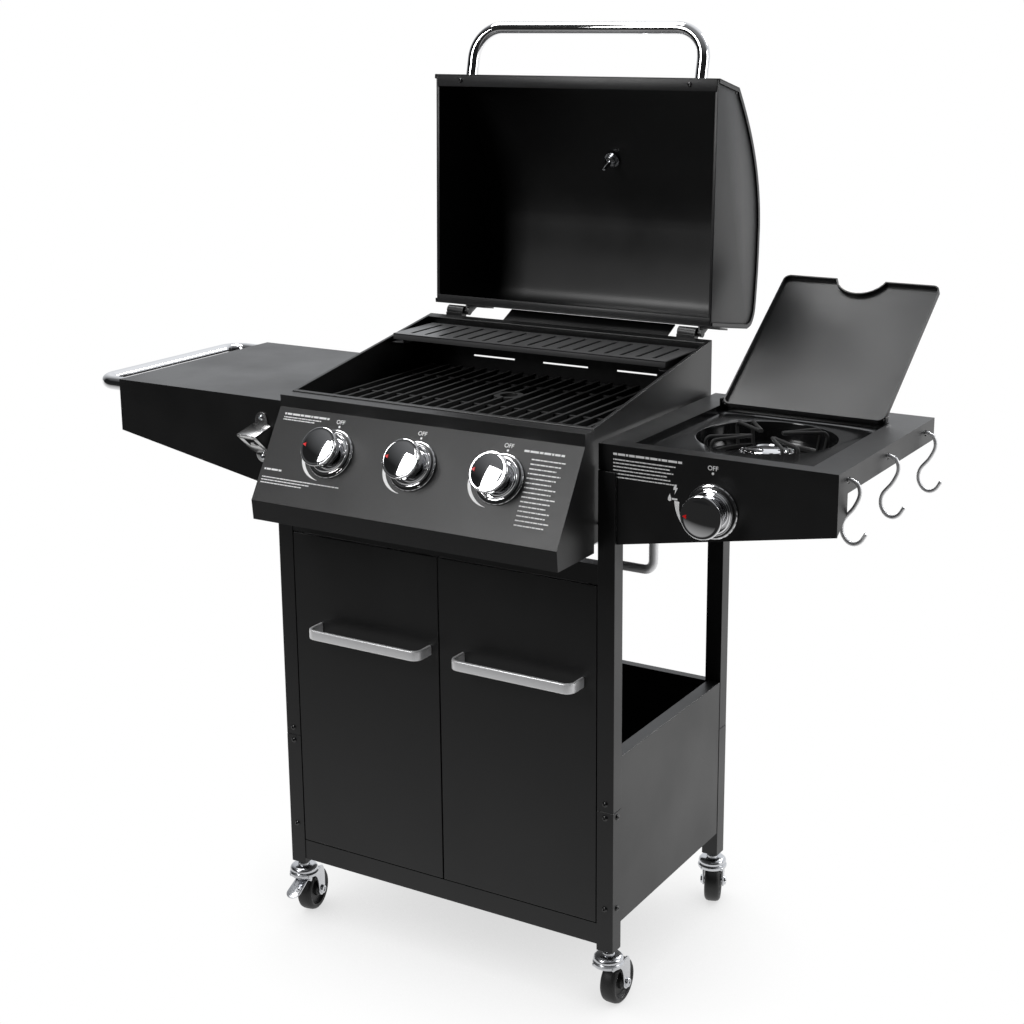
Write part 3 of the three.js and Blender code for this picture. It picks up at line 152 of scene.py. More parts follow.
def surface_group(name: str, sockets: Sequence[tuple[str, float]], build: Callable) -> bpy.types.NodeTree:
    """Makes a node group that takes a position and named numbers and gives a height and a tone.

    Args:
        name: the group's name.
        sockets: named numbers with their usual values.
        build: function of the board and the input node that returns the height and tone sockets.

    Returns:
        The group, the same one each time it is asked for by that name.
    """
    group = bpy.data.node_groups.get(name)
    if group:
        return group
    group = bpy.data.node_groups.new(name, "ShaderNodeTree")
    group.interface.new_socket("Vector", in_out="INPUT", socket_type="NodeSocketVector")
    for label, value in sockets:
        made = group.interface.new_socket(label, in_out="INPUT", socket_type="NodeSocketFloat")
        made.default_value = value
    for label in ("Height", "Tone"):
        group.interface.new_socket(label, in_out="OUTPUT", socket_type="NodeSocketFloat")
    board = Board(group)
    source = group.nodes.new("NodeGroupInput")
    target = group.nodes.new("NodeGroupOutput")
    for label, socket in zip(("Height", "Tone"), build(board, source)):
        group.links.new(socket, target.inputs[label])
    return group


def orange_peel(board: Board, source: bpy.types.Node) -> Sequence[bpy.types.NodeSocket]:
    """Soft unevenness of sprayed powder, with fine pits.

    Args:
        board: the group's board.
        source: its input node, with Scale and Speckle.

    Returns:
        Height and tone.
    """
    where, scale = source.outputs["Vector"], source.outputs["Scale"]
    soft = board.add("TexNoise", {"Vector": where, "Scale": scale, "Detail": 2.0})
    fine_scale = board.math("MULTIPLY", scale, 3.1)
    fine = board.add("TexNoise", {"Vector": where, "Scale": fine_scale, "Detail": 1.0})
    pits = board.ramp(fine.outputs["Fac"], 0.52, 0.72)
    height = board.math("ADD", soft.outputs["Fac"], board.math("MULTIPLY", pits, source.outputs["Speckle"]))
    return height, pits


def smudges(board: Board, source: bpy.types.Node) -> Sequence[bpy.types.NodeSocket]:
    """Large faint patches, as handling and dust leave.

    Args:
        board: the group's board.
        source: its input node, with Scale and Speckle.

    Returns:
        Height and tone.
    """
    where = source.outputs["Vector"]
    cloud = board.add("TexNoise", {"Vector": where, "Scale": source.outputs["Scale"], "Detail": 5.0})
    tone = board.ramp(cloud.outputs["Fac"], 0.35, 0.75)
    return cloud.outputs["Fac"], board.math("MULTIPLY", tone, source.outputs["Speckle"])


def brushed(board: Board, source: bpy.types.Node) -> Sequence[bpy.types.NodeSocket]:
    """Fine lines drawn along X, from rolling or brushing.

    Args:
        board: the group's board.
        source: its input node, with Scale and Speckle.

    Returns:
        Height and tone.
    """
    stretch = board.add("Mapping", {"Vector": source.outputs["Vector"], "Scale": (0.03, 1.0, 1.0)})
    where, scale = stretch.outputs[0], source.outputs["Scale"]
    lines = board.add("TexNoise", {"Vector": where, "Scale": scale, "Detail": 3.0})
    tone = board.math("MULTIPLY", lines.outputs["Fac"], source.outputs["Speckle"])
    return lines.outputs["Fac"], tone


GROUP_INPUTS = (("Scale", 400.0), ("Speckle", 0.5))


@dataclass(frozen=True)
class Finish:
    """A surface finish: plain numbers on the shader, with colour, gloss and height varied by the groups."""

    name: str
    slot: Slot
    base: RGB
    roughness: float
    metallic: float = 0.0
    texture: Callable = orange_peel
    scale: float = 500.0
    speckle: float = 0.4
    bump: float = 0.1
    bump_mm: float = 0.05
    lighten: float = 0.25
    gloss_spread: float = 0.06
    coat: float = 0.0
    specular: float = 0.5

    def material(self) -> bpy.types.Material:
        """The material of this finish, made once.

        Returns:
            The Blender material.
        """
        found = bpy.data.materials.get(self.name)
        if found:
            return found
        made = bpy.data.materials.new(self.name)
        made.use_nodes = True
        made.node_tree.nodes.clear()
        board = Board(made.node_tree)
        where = board.add("TexCoord").outputs["Object"]
        grain = board.add("Group", node_tree=surface_group(self.texture.__name__, GROUP_INPUTS, self.texture))
        marks = board.add("Group", node_tree=surface_group("smudges", GROUP_INPUTS, smudges))
        for group, scale, amount in ((grain, self.scale, self.speckle), (marks, 7.0, 1.0)):
            board.tree.links.new(where, group.inputs["Vector"])
            group.inputs["Scale"].default_value = scale
            group.inputs["Speckle"].default_value = amount
        light = tuple(min(c * (1 + self.lighten) + 0.004, 1.0) for c in self.base)
        colour = board.add("Mix", {"Factor": grain.outputs["Tone"]}, data_type="RGBA")
        colour.inputs[6].default_value = (*self.base, 1)
        colour.inputs[7].default_value = (*light, 1)
        low = max(self.roughness - self.gloss_spread, 0.02)
        rough = board.ramp(marks.outputs["Tone"], 0.0, 1.0, (low, self.roughness + self.gloss_spread))
        height = grain.outputs["Height"]
        bump = board.add("Bump", {"Strength": self.bump, "Distance": self.bump_mm * MM, "Height": height})
        shader = board.add("BsdfPrincipled", {"Base Color": colour.outputs[2], "Roughness": rough})
        board.tree.links.new(bump.outputs[0], shader.inputs["Normal"])
        shader.inputs["Metallic"].default_value = self.metallic
        shader.inputs["Coat Weight"].default_value = self.coat
        shader.inputs["Specular IOR Level"].default_value = self.specular
        board.add("OutputMaterial", {"Surface": shader.outputs[0]})
        made.diffuse_color = (*self.base, 1)
        return made


@dataclass(frozen=True)
class Palette:
    """Every finish on the grill."""

    cabinet: Finish = Finish("cabinet_powder", Slot.FRAME, (0.004, 0.004, 0.0042), 0.38, scale=900, bump=0.12)
    shelf: Finish = Finish("shelf_powder", Slot.FRAME, (0.005, 0.005, 0.0052), 0.36, scale=900, bump=0.12)
    # Lid skin and cheeks: the same black lid paint as the panel, but with a base about three times lighter.
    # This is painted light that brightens the lid.
    hood: Finish = Finish(
        "hood_powder_painted_light", Slot.LID, (0.016, 0.016, 0.0165), 0.38,
        scale=1500, speckle=1.0, bump=0.35, bump_mm=0.09, lighten=2.5,
    )
    panel: Finish = Finish(
        "panel_powder", Slot.LID, (0.006, 0.006, 0.0062), 0.38,
        scale=1500, speckle=1.0, bump=0.35, bump_mm=0.09, lighten=3.5,
    )
    inside: Finish = Finish("hood_inside", Slot.LID, (0.004, 0.004, 0.0042), 0.36, scale=800, bump=0.08)
    chrome: Finish = Finish(
        "bright_chrome", Slot.CHROME, (0.86, 0.86, 0.87), 0.05, metallic=1.0, texture=brushed,
        scale=300, speckle=0.2, bump=0.01, bump_mm=0.01, lighten=0.0, gloss_spread=0.02,
    )
    satin: Finish = Finish(
        "satin_chrome", Slot.CHROME, (0.9, 0.9, 0.91), 0.4, metallic=0.5, texture=brushed,
        scale=900, speckle=0.3, bump=0.12, bump_mm=0.02, lighten=0.1, gloss_spread=0.04,
    )
    zinc: Finish = Finish(
        "zinc_plate", Slot.ZINC, (0.66, 0.67, 0.69), 0.2, metallic=1.0,
        scale=260, speckle=0.3, bump=0.08, bump_mm=0.05, lighten=0.1, gloss_spread=0.07,
    )
    steel: Finish = Finish(
        "plain_steel", Slot.STAINLESS, (0.6, 0.6, 0.6), 0.25, metallic=1.0, texture=brushed,
        scale=700, speckle=0.4, bump=0.1, bump_mm=0.03, lighten=0.1, gloss_spread=0.06,
    )
    cast: Finish = Finish(
        "cast_iron", Slot.CAST, (0.012, 0.012, 0.012), 0.5,
        scale=420, speckle=1.0, bump=0.55, bump_mm=0.2, lighten=0.9,
    )
    enamel: Finish = Finish(
        "gloss_enamel", Slot.ENAMEL, (0.006, 0.006, 0.0065), 0.2, scale=200, bump=0.05, coat=0.4
    )
    tray: Finish = Finish("tray_enamel", Slot.ENAMEL, (0.004, 0.004, 0.0042), 0.16, scale=500, bump=0.06)
    rack: Finish = Finish(
        "rack_plate", Slot.RACK, (0.14, 0.14, 0.142), 0.36, metallic=0.6, texture=brushed,
        scale=900, speckle=0.4, bump=0.15, bump_mm=0.03, lighten=0.15,
    )
    tread: Finish = Finish(
        "wheel_tread", Slot.WHEEL, (0.007, 0.007, 0.007), 0.5, scale=500, bump=0.25, bump_mm=0.1
    )
    print_white: Finish = Finish("white_print", Slot.FRAME, (0.85, 0.85, 0.85), 0.5, bump=0.02, lighten=0.0)
    print_red: Finish = Finish("red_print", Slot.CHROME, (0.85, 0.01, 0.01), 0.35, bump=0.02, lighten=0.0)
    shadow: Finish = Finish("dark_recess", Slot.FRAME, (0.002, 0.002, 0.002), 0.6, bump=0.02)


PAINT = Palette()


# Shapes --------------------------------------------------------------------------------------------------


def lathe(profile: Sequence[Pair], steps: int = 48) -> bmesh.types.BMesh:
    """Turns a profile about Z.

    Args:
        profile: (radius, height) pairs that start and end on the axis or close on themselves.
        steps: number of faces round.

    Returns:
        The turned solid.
    """
    bm = bmesh.new()
    verts = [bm.verts.new((r, 0, h)) for r, h in profile]
    edges = [bm.edges.new(pair) for pair in zip(verts, verts[1:])]
    geom = verts + edges
    full = 2 * math.pi
    bmesh.ops.spin(bm, geom=geom, axis=(0, 0, 1), angle=full, steps=steps, use_merge=True)
    bmesh.ops.remove_doubles(bm, verts=bm.verts, dist=0.002)
    bmesh.ops.dissolve_degenerate(bm, edges=bm.edges, dist=0.001)
    bmesh.ops.recalc_face_normals(bm, faces=bm.faces)
    return bm


def slab(outline: Sequence[Pair], low: float, high: float) -> bmesh.types.BMesh:
    """A flat outline given thickness along Z.

    Args:
        outline: (x, y) corners in order.
        low: height of its underside.
        high: height of its top.

    Returns:
        The solid.
    """
    bm = bmesh.new()
    face = bm.faces.new([bm.verts.new((x, y, low)) for x, y in outline])
    made = bmesh.ops.extrude_face_region(bm, geom=[face])
    top = [v for v in made["geom"] if isinstance(v, bmesh.types.BMVert)]
    bmesh.ops.translate(bm, verts=top, vec=(0, 0, high - low))
    bmesh.ops.recalc_face_normals(bm, faces=bm.faces)
    return bm


def block(x: Pair, y: Pair, z: Pair) -> bmesh.types.BMesh:
    """A box between two values on each axis.

    Args:
        x: its two X values.
        y: its two Y values.
        z: its two Z values.

    Returns:
        The solid.
    """
    bm = bmesh.new()
    bmesh.ops.create_cube(bm, size=1)
    bmesh.ops.scale(bm, vec=(x[1] - x[0], y[1] - y[0], z[1] - z[0]), verts=bm.verts)
    middle = ((x[0] + x[1]) / 2, (y[0] + y[1]) / 2, (z[0] + z[1]) / 2)
    bmesh.ops.translate(bm, vec=middle, verts=bm.verts)
    return bm


def grown_edges(bm: bmesh.types.BMesh, edges: list) -> tuple[list, list]:
    """Extrudes a run of edges in place.

    Args:
        bm: the mesh.
        edges: the edges to extrude.

    Returns:
        The new corners, and the new edges between them.
    """
    made = bmesh.ops.extrude_edge_only(bm, edges=edges)["geom"]
    verts = [g for g in made if isinstance(g, bmesh.types.BMVert)]
    fresh = [g for g in made if isinstance(g, bmesh.types.BMEdge) and all(v in verts for v in g.verts)]
    return verts, fresh


def rounded_route(corners: Sequence[Triple], radius: float, steps: int = 10) -> list[Vector]:
    """A route through corners, each inner one rounded.

    Args:
        corners: points in order.
        radius: radius of each bend.
        steps: stretches in each bend.

    Returns:
        Points along the route.
    """
    points = [Vector(c) for c in corners]
    route = [points[0]]
    for before, corner, after in zip(points, points[1:], points[2:]):
        a, b = (corner - before).normalized(), (after - corner).normalized()
        angle = a.angle(b)
        start = corner - a * radius * math.tan(angle / 2)
        inward = (b - a * a.dot(b)).normalized()
        for step in range(steps + 1):
            t = angle * step / steps
            route.append(start + inward * radius * (1 - math.cos(t)) + a * radius * math.sin(t))
    route.append(points[-1])
    return route


def smooth_route(points: Sequence[Triple], steps: int = 6) -> list[Vector]:
    """A curve that passes smoothly through points.

    Args:
        points: points in order.
        steps: stretches between two of them.

    Returns:
        Points along the curve.
    """
    p = [Vector(c) for c in points]
    p = [p[0] * 2 - p[1], *p, p[-1] * 2 - p[-2]]
    route = []
    for a, b, c, d in zip(p, p[1:], p[2:], p[3:]):
        for step in range(steps):
            t = step / steps
            tangent_in, tangent_out = (c - a) / 2, (d - b) / 2
            h = (2 * t**3 - 3 * t**2 + 1, t**3 - 2 * t**2 + t, -2 * t**3 + 3 * t**2, t**3 - t**2)
            route.append(b * h[0] + tangent_in * h[1] + c * h[2] + tangent_out * h[3])
    route.append(p[-2])
    return route


def sweep(route: Sequence[Vector], section: Sequence[Pair], dome: float = 0.0) -> bmesh.types.BMesh:
    """Draws a closed section along a route, with closed ends.

    Args:
        route: points along it.
        section: the section's corners in order, across the route.
        dome: how far each end bulges.

    Returns:
        The solid.
    """
    bm = bmesh.new()
    tangents = []
    for i in range(len(route)):
        ahead = route[min(i + 1, len(route) - 1)] - route[max(i - 1, 0)]
        tangents.append(ahead.normalized())
    upright = Vector((0, 0, 1)) if abs(tangents[0].z) < 0.9 else Vector((0, 1, 0))
    across = tangents[0].cross(upright).normalized()
    rise = across.cross(tangents[0]).normalized()
    ring = [bm.verts.new(route[0] + across * x + rise * y) for x, y in section]
    edges = [bm.edges.new((a, b)) for a, b in zip(ring, ring[1:] + ring[:1])]
    first = list(ring)
    for i in range(1, len(route)):
        verts, edges = grown_edges(bm, edges)
        turn = tangents[i - 1].rotation_difference(tangents[i]).to_matrix().to_4x4()
        move = Matrix.Translation(route[i]) @ turn @ Matrix.Translation(-route[i - 1])
        bmesh.ops.transform(bm, matrix=move, verts=verts)
    for end, tangent, loop in ((route[0], -tangents[0], first), (route[-1], tangents[-1], verts)):
        rim = [e for e in bm.edges if e.is_boundary and all(v in loop for v in e.verts)]
        made = bmesh.ops.contextual_create(bm, geom=rim)
        if dome and made["faces"]:
            bmesh.ops.inset_region(bm, faces=made["faces"], thickness=dome * 1.2, use_even_offset=True)
            lift = {v for f in made["faces"] for v in f.verts}
            bmesh.ops.translate(bm, verts=list(lift), vec=tangent * dome)
    bmesh.ops.recalc_face_normals(bm, faces=bm.faces)
    return bm


def circle(radius: float, sides: int = 20) -> list[Pair]:
    """Corners of a round section.

    Args:
        radius: its radius.
        sides: number of corners.

    Returns:
        (x, y) pairs in order.
    """
    angles = (2 * math.pi * i / sides for i in range(sides))
    return [(radius * math.cos(a), radius * math.sin(a)) for a in angles]


def rounded_box(x: Pair, y: Pair, radius: float, steps: int = 6) -> list[Pair]:
    """Corners of a rectangle with rounded corners.

    Args:
        x: its two X values.
        y: its two Y values.
        radius: corner radius.
        steps: stretches in each corner.

    Returns:
        (x, y) pairs in order, anticlockwise.
    """
    points = []
    for cx, cy, start in (
        (x[1] - radius, y[0] + radius, -90),
        (x[1] - radius, y[1] - radius, 0),
        (x[0] + radius, y[1] - radius, 90),
        (x[0] + radius, y[0] + radius, 180),
    ):
        for step in range(steps + 1):
            a = math.radians(start + 90 * step / steps)
            points.append((cx + radius * math.cos(a), cy + radius * math.sin(a)))
    return points


def soften(bm: bmesh.types.BMesh, width: float, segments: int = 2, angle: float = 28.0) -> bmesh.types.BMesh:
    """Rounds every edge that is sharper than an angle.

    Args:
        bm: the solid.
        width: size of the rounding.
        segments: faces across it.
        angle: edges flatter than this many degrees are left.

    Returns:
        The same solid.
    """
    sharp = [e for e in bm.edges if len(e.link_faces) == 2 and e.calc_face_angle(0) > math.radians(angle)]
    bmesh.ops.bevel(
        bm,
        geom=sharp,
        offset=width,
        segments=segments,
        profile=0.5,
        affect="EDGES",
        material=-1,
        clamp_overlap=True,
    )
    return bm


def united(parts: Iterable[bmesh.types.BMesh]) -> bmesh.types.BMesh:
    """Puts several solids in one mesh.

    Args:
        parts: the solids, which are used up.

    Returns:
        One mesh that holds them all.
    """
    whole = bmesh.new()
    for part in parts:
        held = bpy.data.meshes.new("held")
        part.to_mesh(held)
        part.free()
        whole.from_mesh(held)
        bpy.data.meshes.remove(held)
    return whole


def moved(bm: bmesh.types.BMesh, matrix: Matrix) -> bmesh.types.BMesh:
    """Moves a solid.

    Args:
        bm: the solid.
        matrix: the move, in millimetres.

    Returns:
        The same solid.
    """
    bmesh.ops.transform(bm, matrix=matrix, verts=bm.verts)
    return bm


def shifted(bm: bmesh.types.BMesh, x: float, y: float, z: float) -> bmesh.types.BMesh:
    """Shifts a solid by millimetres along each axis.

    Args:
        bm: the solid.
        x: shift along X.
        y: shift along Y.
        z: shift along Z.

    Returns:
        The same solid.
    """
    return moved(bm, Matrix.Translation((x, y, z)))


def axes(x: Triple, y: Triple, z: Triple, origin: Triple = (0, 0, 0)) -> Matrix:
    """A move that lays local axes along given directions.

    Args:
        x: direction of local X.
        y: direction of local Y.
        z: direction of local Z.
        origin: where the local origin goes.

    Returns:
        The move.
    """
    rows = Matrix((x, y, z)).transposed().to_4x4()
    return Matrix.Translation(origin) @ rows


def across(axis: Axis, outline: Sequence[Pair], low: float, high: float) -> bmesh.types.BMesh:
    """An outline in the cart's axes, given thickness along one of them.

    Args:
        axis: the direction of the thickness.
        outline: corners along the other two axes.
        low: lower end along the axis.
        high: upper end along the axis.

    Returns:
        The solid in the cart's axes.
    """
    if axis is Axis.Y:
        low, high = -high, -low
    return moved(slab(outline, low, high), axes(*axis.value))


@dataclass(frozen=True)
class Cart:
    """The cart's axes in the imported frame, and the way that finished pieces are put on it."""

    origin: Vector

    @classmethod
    def from_frame(cls) -> "Cart":
        """Finds the cart's axes from its front legs.

        Returns:
            The cart.
        """
        left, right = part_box("leg_front_left"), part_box("leg_front_right")
        return cls(Vector(((left[0].x + right[1].x) / 2, left[0].y, 0)))

    def local(self, corner: Vector) -> Vector:
        """A frame point in the cart's millimetres."""
        return (corner - self.origin) / MM

    def bounds(self, node: str) -> tuple[Vector, Vector]:
        """Lowest and highest corner of a node in the cart's millimetres."""
        low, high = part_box(node)
        return self.local(low), self.local(high)

    def joint(self, name: str) -> dict:
        """The frame's joint of that name."""
        return next(j for j in frame["joints"] if j["name"] == name)

    def pivot(self, name: str) -> Vector:
        """A joint's place in the cart's millimetres."""
        return self.local(Vector(self.joint(name)["pos_m"]))

    def add(
        self,
        name: str,
        bm: bmesh.types.BMesh,
        finish: Finish,
        body: str = "cart",
        stands_for: Sequence[str] = (),
        crease: float = 35.0,
    ) -> bpy.types.Object:
        """Finishes a piece and puts it on a body.

        Args:
            name: the piece's name.
            bm: its solid in the cart's millimetres.
            finish: its finish.
            body: the body that it rides on.
            stands_for: nodes that it replaces.
            crease: edges sharper than this many degrees stay sharp.

        Returns:
            The piece.
        """
        place = Matrix.Translation(self.origin) @ Matrix.Scale(MM, 4)
        bmesh.ops.transform(bm, matrix=place, verts=bm.verts)
        mesh = bpy.data.meshes.new(name)
        bm.to_mesh(mesh)
        bm.free()
        mesh.materials.append(finish.material())
        for face in mesh.polygons:
            face.use_smooth = True
        mesh.set_sharp_from_angle(angle=math.radians(crease))
        piece = bpy.data.objects.new(name, mesh)
        bpy.context.scene.collection.objects.link(piece)
        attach(piece, body)
        if stands_for:
            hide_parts(*stands_for)
        LOG.info("%s rides on %s, %d faces", name, body, len(mesh.polygons))
        return piece

    def dress(
        self, node: str, finish: Finish, edge: float = 0.5, segments: int = 2, bend: float = 35
    ) -> None:
        """Gives a node its finish and rounds its edges.

        Args:
            node: the node's name.
            finish: its finish.
            edge: size of the rounding in millimetres, or 0 for none.
            segments: faces across the rounding.
            bend: smallest angle, in degrees, that counts as an edge.
        """
        piece = frame["nodes"][node]
        piece.data.materials.clear()
        piece.data.materials.append(finish.material())
        if edge:
            weld = piece.modifiers.new("weld", "WELD")
            weld.merge_threshold = 0.00002
            bevel = piece.modifiers.new("edges", "BEVEL")
            bevel.width = edge * MM
            bevel.segments = segments
            bevel.limit_method = "ANGLE"
            bevel.angle_limit = math.radians(bend)
            piece.modifiers.new("normals", "WEIGHTED_NORMAL")
        LOG.info("%s dressed in %s", node, finish.name)


# Sub-assemblies ------------------------------------------------------------------------------------------


@dataclass
class Screw:
    """A domed cross-head screw, standing on a face at the origin and pointing along Z."""

    radius: float = 4.2
    height: float = 2.4

    def solid(self) -> bmesh.types.BMesh:
        """The head with its cross cut as a raised ring round a hollow.

        Returns:
            The solid.
        """
        r, h = self.radius, self.height
        profile = [(0, -0.3), (r, -0.3), (r, 0.25 * h), (0.8 * r, 0.72 * h), (0.5 * r, h), (0.34 * r, h)]
        profile += [(0.26 * r, 0.45 * h), (0, 0.4 * h)]
        return lathe(profile, 20)


@dataclass
class Cabinet:
    """Legs, panels, rails, doors and their handles."""

    cart: Cart
    screw: Screw = field(default_factory=Screw)
    handle_thick: float = 5.0
    handle_corner: float = 14.0
    split_level: float = 298.0

    def build(self) -> None:
        """Dresses the frame and makes the handles and screws."""
        for node in (
            "leg_front_left",
            "leg_front_right",
            "leg_rear_left",
            "leg_rear_right",
            "base_shelf",
            "back_panel",
            "side_panel_left",
            "side_panel_right",
            "top_front_rail",
        ):
            self.cart.dress(node, PAINT.cabinet, 0.8 if node.startswith("leg") else 0.5, 3)
        for side in ("left", "right"):
            self.cart.dress(f"door_{side}", PAINT.cabinet, 1.2, 3)
            self.handle(side)
        self.leg_screws()

    def handle(self, side: str) -> None:
        """A door's handle: a flat strap bent to a long U, with softly rounded edges.

        Args:
            side: left or right.
        """
        low, high = self.cart.bounds(f"door_handle_{side}")
        t, r = self.handle_thick, self.handle_corner
        middle = (low.z + high.z) / 2
        mid_line = t / 2
        route = rounded_route(
            [
                (low.x + mid_line, high.y, middle),
                (low.x + mid_line, low.y + mid_line, middle),
                (high.x - mid_line, low.y + mid_line, middle),
                (high.x - mid_line, high.y, middle),
            ],
            r - mid_line,
            8,
        )
        tall = (high.z - low.z) / 2
        section = rounded_box((-mid_line, mid_line), (-tall, tall), 2.2, 4)
        node = f"door_handle_{side}"
        self.cart.add(f"{node}_strap", sweep(route, section), PAINT.satin, f"door_{side}", [node])

    def leg_screws(self) -> None:
        """Screws on both sides of each front leg's joint line and at its foot."""
        for side, sign in (("left", -1), ("right", 1)):
            low, high = self.cart.bounds(f"leg_front_{side}")
            heads = []
            for level in (self.split_level + 12, self.split_level - 8, 156.0):
                face = axes((1, 0, 0), (0, 0, 1), (0, -1, 0), ((low.x + high.x) / 2, low.y, level))
                heads.append(moved(self.screw.solid(), face))
                if level < self.split_level:
                    x = high.x if sign > 0 else low.x
                    cheek = axes((0, sign, 0), (0, 0, 1), (sign, 0, 0), (x, (low.y + high.y) / 2, level))
                    heads.append(moved(self.screw.solid(), cheek))
            self.cart.add(f"leg_screws_{side}", united(heads), PAINT.enamel)


@dataclass
class Caster:
    """One swivelling caster at its corner of the cart."""

    cart: Cart
    corner: str
    braked: bool = False
    cheek: float = 2.5

    def build(self) -> None:
        """Makes the wheel, its fork and, on the braked one, the pedal."""
        spin = self.cart.joint(f"wheel_spin_{self.corner}")
        swivel = self.cart.pivot(f"caster_swivel_{self.corner}")
        x_axis = Vector(spin["axis"]).normalized()
        y_axis = Vector((-x_axis.y, x_axis.x, 0))
        self.place = axes(x_axis, y_axis, (0, 0, 1), (swivel.x, swivel.y, 0))
        hub = self.cart.pivot(f"wheel_spin_{self.corner}")
        self.trail = (hub - swivel).to_2d().length
        self.hub = hub.z
        self.wheel()
        self.fork()
        if self.braked:
            self.pedal()

    def wheel(self) -> None:
        """Tread with rounded shoulders, a dished web and a hub."""
        r, w = self.hub, 12.0
        half = [(4.2, w - 0.5), (9, w), (10.5, w - 1), (11.5, 6.6), (20.5, 6), (22.5, 7.5)]
        half += [(24, w - 1.4), (27.5, w - 0.4)]
        half += [(r - 3.4, w - 1.2), (r - 1.3, w - 3), (r - 0.2, w - 6.5), (r, 0)]
        profile = half + [(a, -b) for a, b in reversed(half[:-1])]
        profile.append(profile[0])
        lie = Matrix.Rotation(math.pi / 2, 4, "Y")
        bm = moved(lathe(profile, 64), Matrix.Translation((0, self.trail, self.hub)) @ lie)
        body, node = f"wheel_{self.corner}", f"caster_wheel_{self.corner}"
        self.cart.add(f"{body}_tyre", moved(bm, self.place), PAINT.tread, body, [node])

    def fork(self) -> None:
        """Swivel head with its two ball races, pressed fork cheeks, axle and stem."""
        inner, t, trail, hub = 14.0, self.cheek, self.trail, self.hub
        race = [(0, 68.4), (19.5, 68.4), (21.6, 69.6), (22, 71.5), (21.6, 73.4), (20.2, 74.6), (19.4, 75.4)]
        race += [(20.4, 76.4), (21, 78.6), (20.4, 81), (18.6, 83), (16, 84.2), (9, 84.6)]
        race += [(8.4, 87.6), (5.2, 87.8), (5.2, 112), (0, 112)]
        parts = [lathe(race, 56)]
        reach = 9.0
        outline = [(-17, 72.5), (-15.5, 68), (-4, 66.5), (4, 64), (10, 58.5), (14, 50)]
        outline.append((trail - reach + 0.6, hub + 4))
        steps = 9
        for step in range(steps + 1):
            a = math.radians(-172 + 164 * step / steps)
            outline.append((trail + reach * math.cos(a), hub + reach * math.sin(a)))
        outline += [(trail + 9, 52), (trail + 7.5, 64), (trail + 4, 71), (trail, 72.5)]
        for s in (-1, 1):
            x = sorted((s * inner, s * (inner + t)))
            parts.append(soften(across(Axis.X, outline, *x), 0.5, 2))
        parts.append(soften(block((-inner - t, inner + t), (-17, trail - 2), (69.5, 72.5)), 1.2, 3))
        bolt = [(0, 0), (6.6, 0), (6.6, 1.8), (5.8, 3), (3.4, 3.2), (3.1, 2.2), (0, 2.2)]
        for s in (-1, 1):
            turn = axes((0, s, 0), (0, 0, 1), (s, 0, 0), (s * (inner + t), trail, hub))
            parts.append(moved(lathe(bolt, 6 if s < 0 else 24), turn))
        axle = lathe([(0, -inner), (3.5, -inner), (3.5, inner), (0, inner)], 20)
        parts.append(moved(axle, Matrix.Translation((0, trail, hub)) @ Matrix.Rotation(math.pi / 2, 4, "Y")))
        fork, node = moved(united(parts), self.place), f"caster_fork_{self.corner}"
        self.cart.add(f"caster_{self.corner}_fork", fork, PAINT.zinc, f"caster_{self.corner}", [node])

    def pedal(self) -> None:
        """Pressed foot pedal with a rounded toe."""
        outline = [(-10, 0), (-10.5, -16)]
        steps = 10
        for step in range(steps + 1):
            a = math.radians(180 + 180 * step / steps)
            outline.append((11 * math.cos(a), -30 + 12 * math.sin(a)))
        outline += [(10.5, -16), (10, 0)]
        toe = soften(slab(outline, -1.2, 1.2), 0.7, 2)
        tilt = Matrix.Translation((0, -6, 62.5)) @ Matrix.Rotation(math.radians(18), 4, "X")
        pin = lathe([(0, -14), (3.2, -14), (3.2, 14), (0, 14)], 20)
        pin_place = Matrix.Translation((0, -5, 63)) @ Matrix.Rotation(math.pi / 2, 4, "Y")
        bm = united([moved(toe, tilt), moved(pin, pin_place)])
        self.cart.add("brake_pedal_plate", moved(bm, self.place), PAINT.zinc, "brake_pedal", ["brake_pedal"])


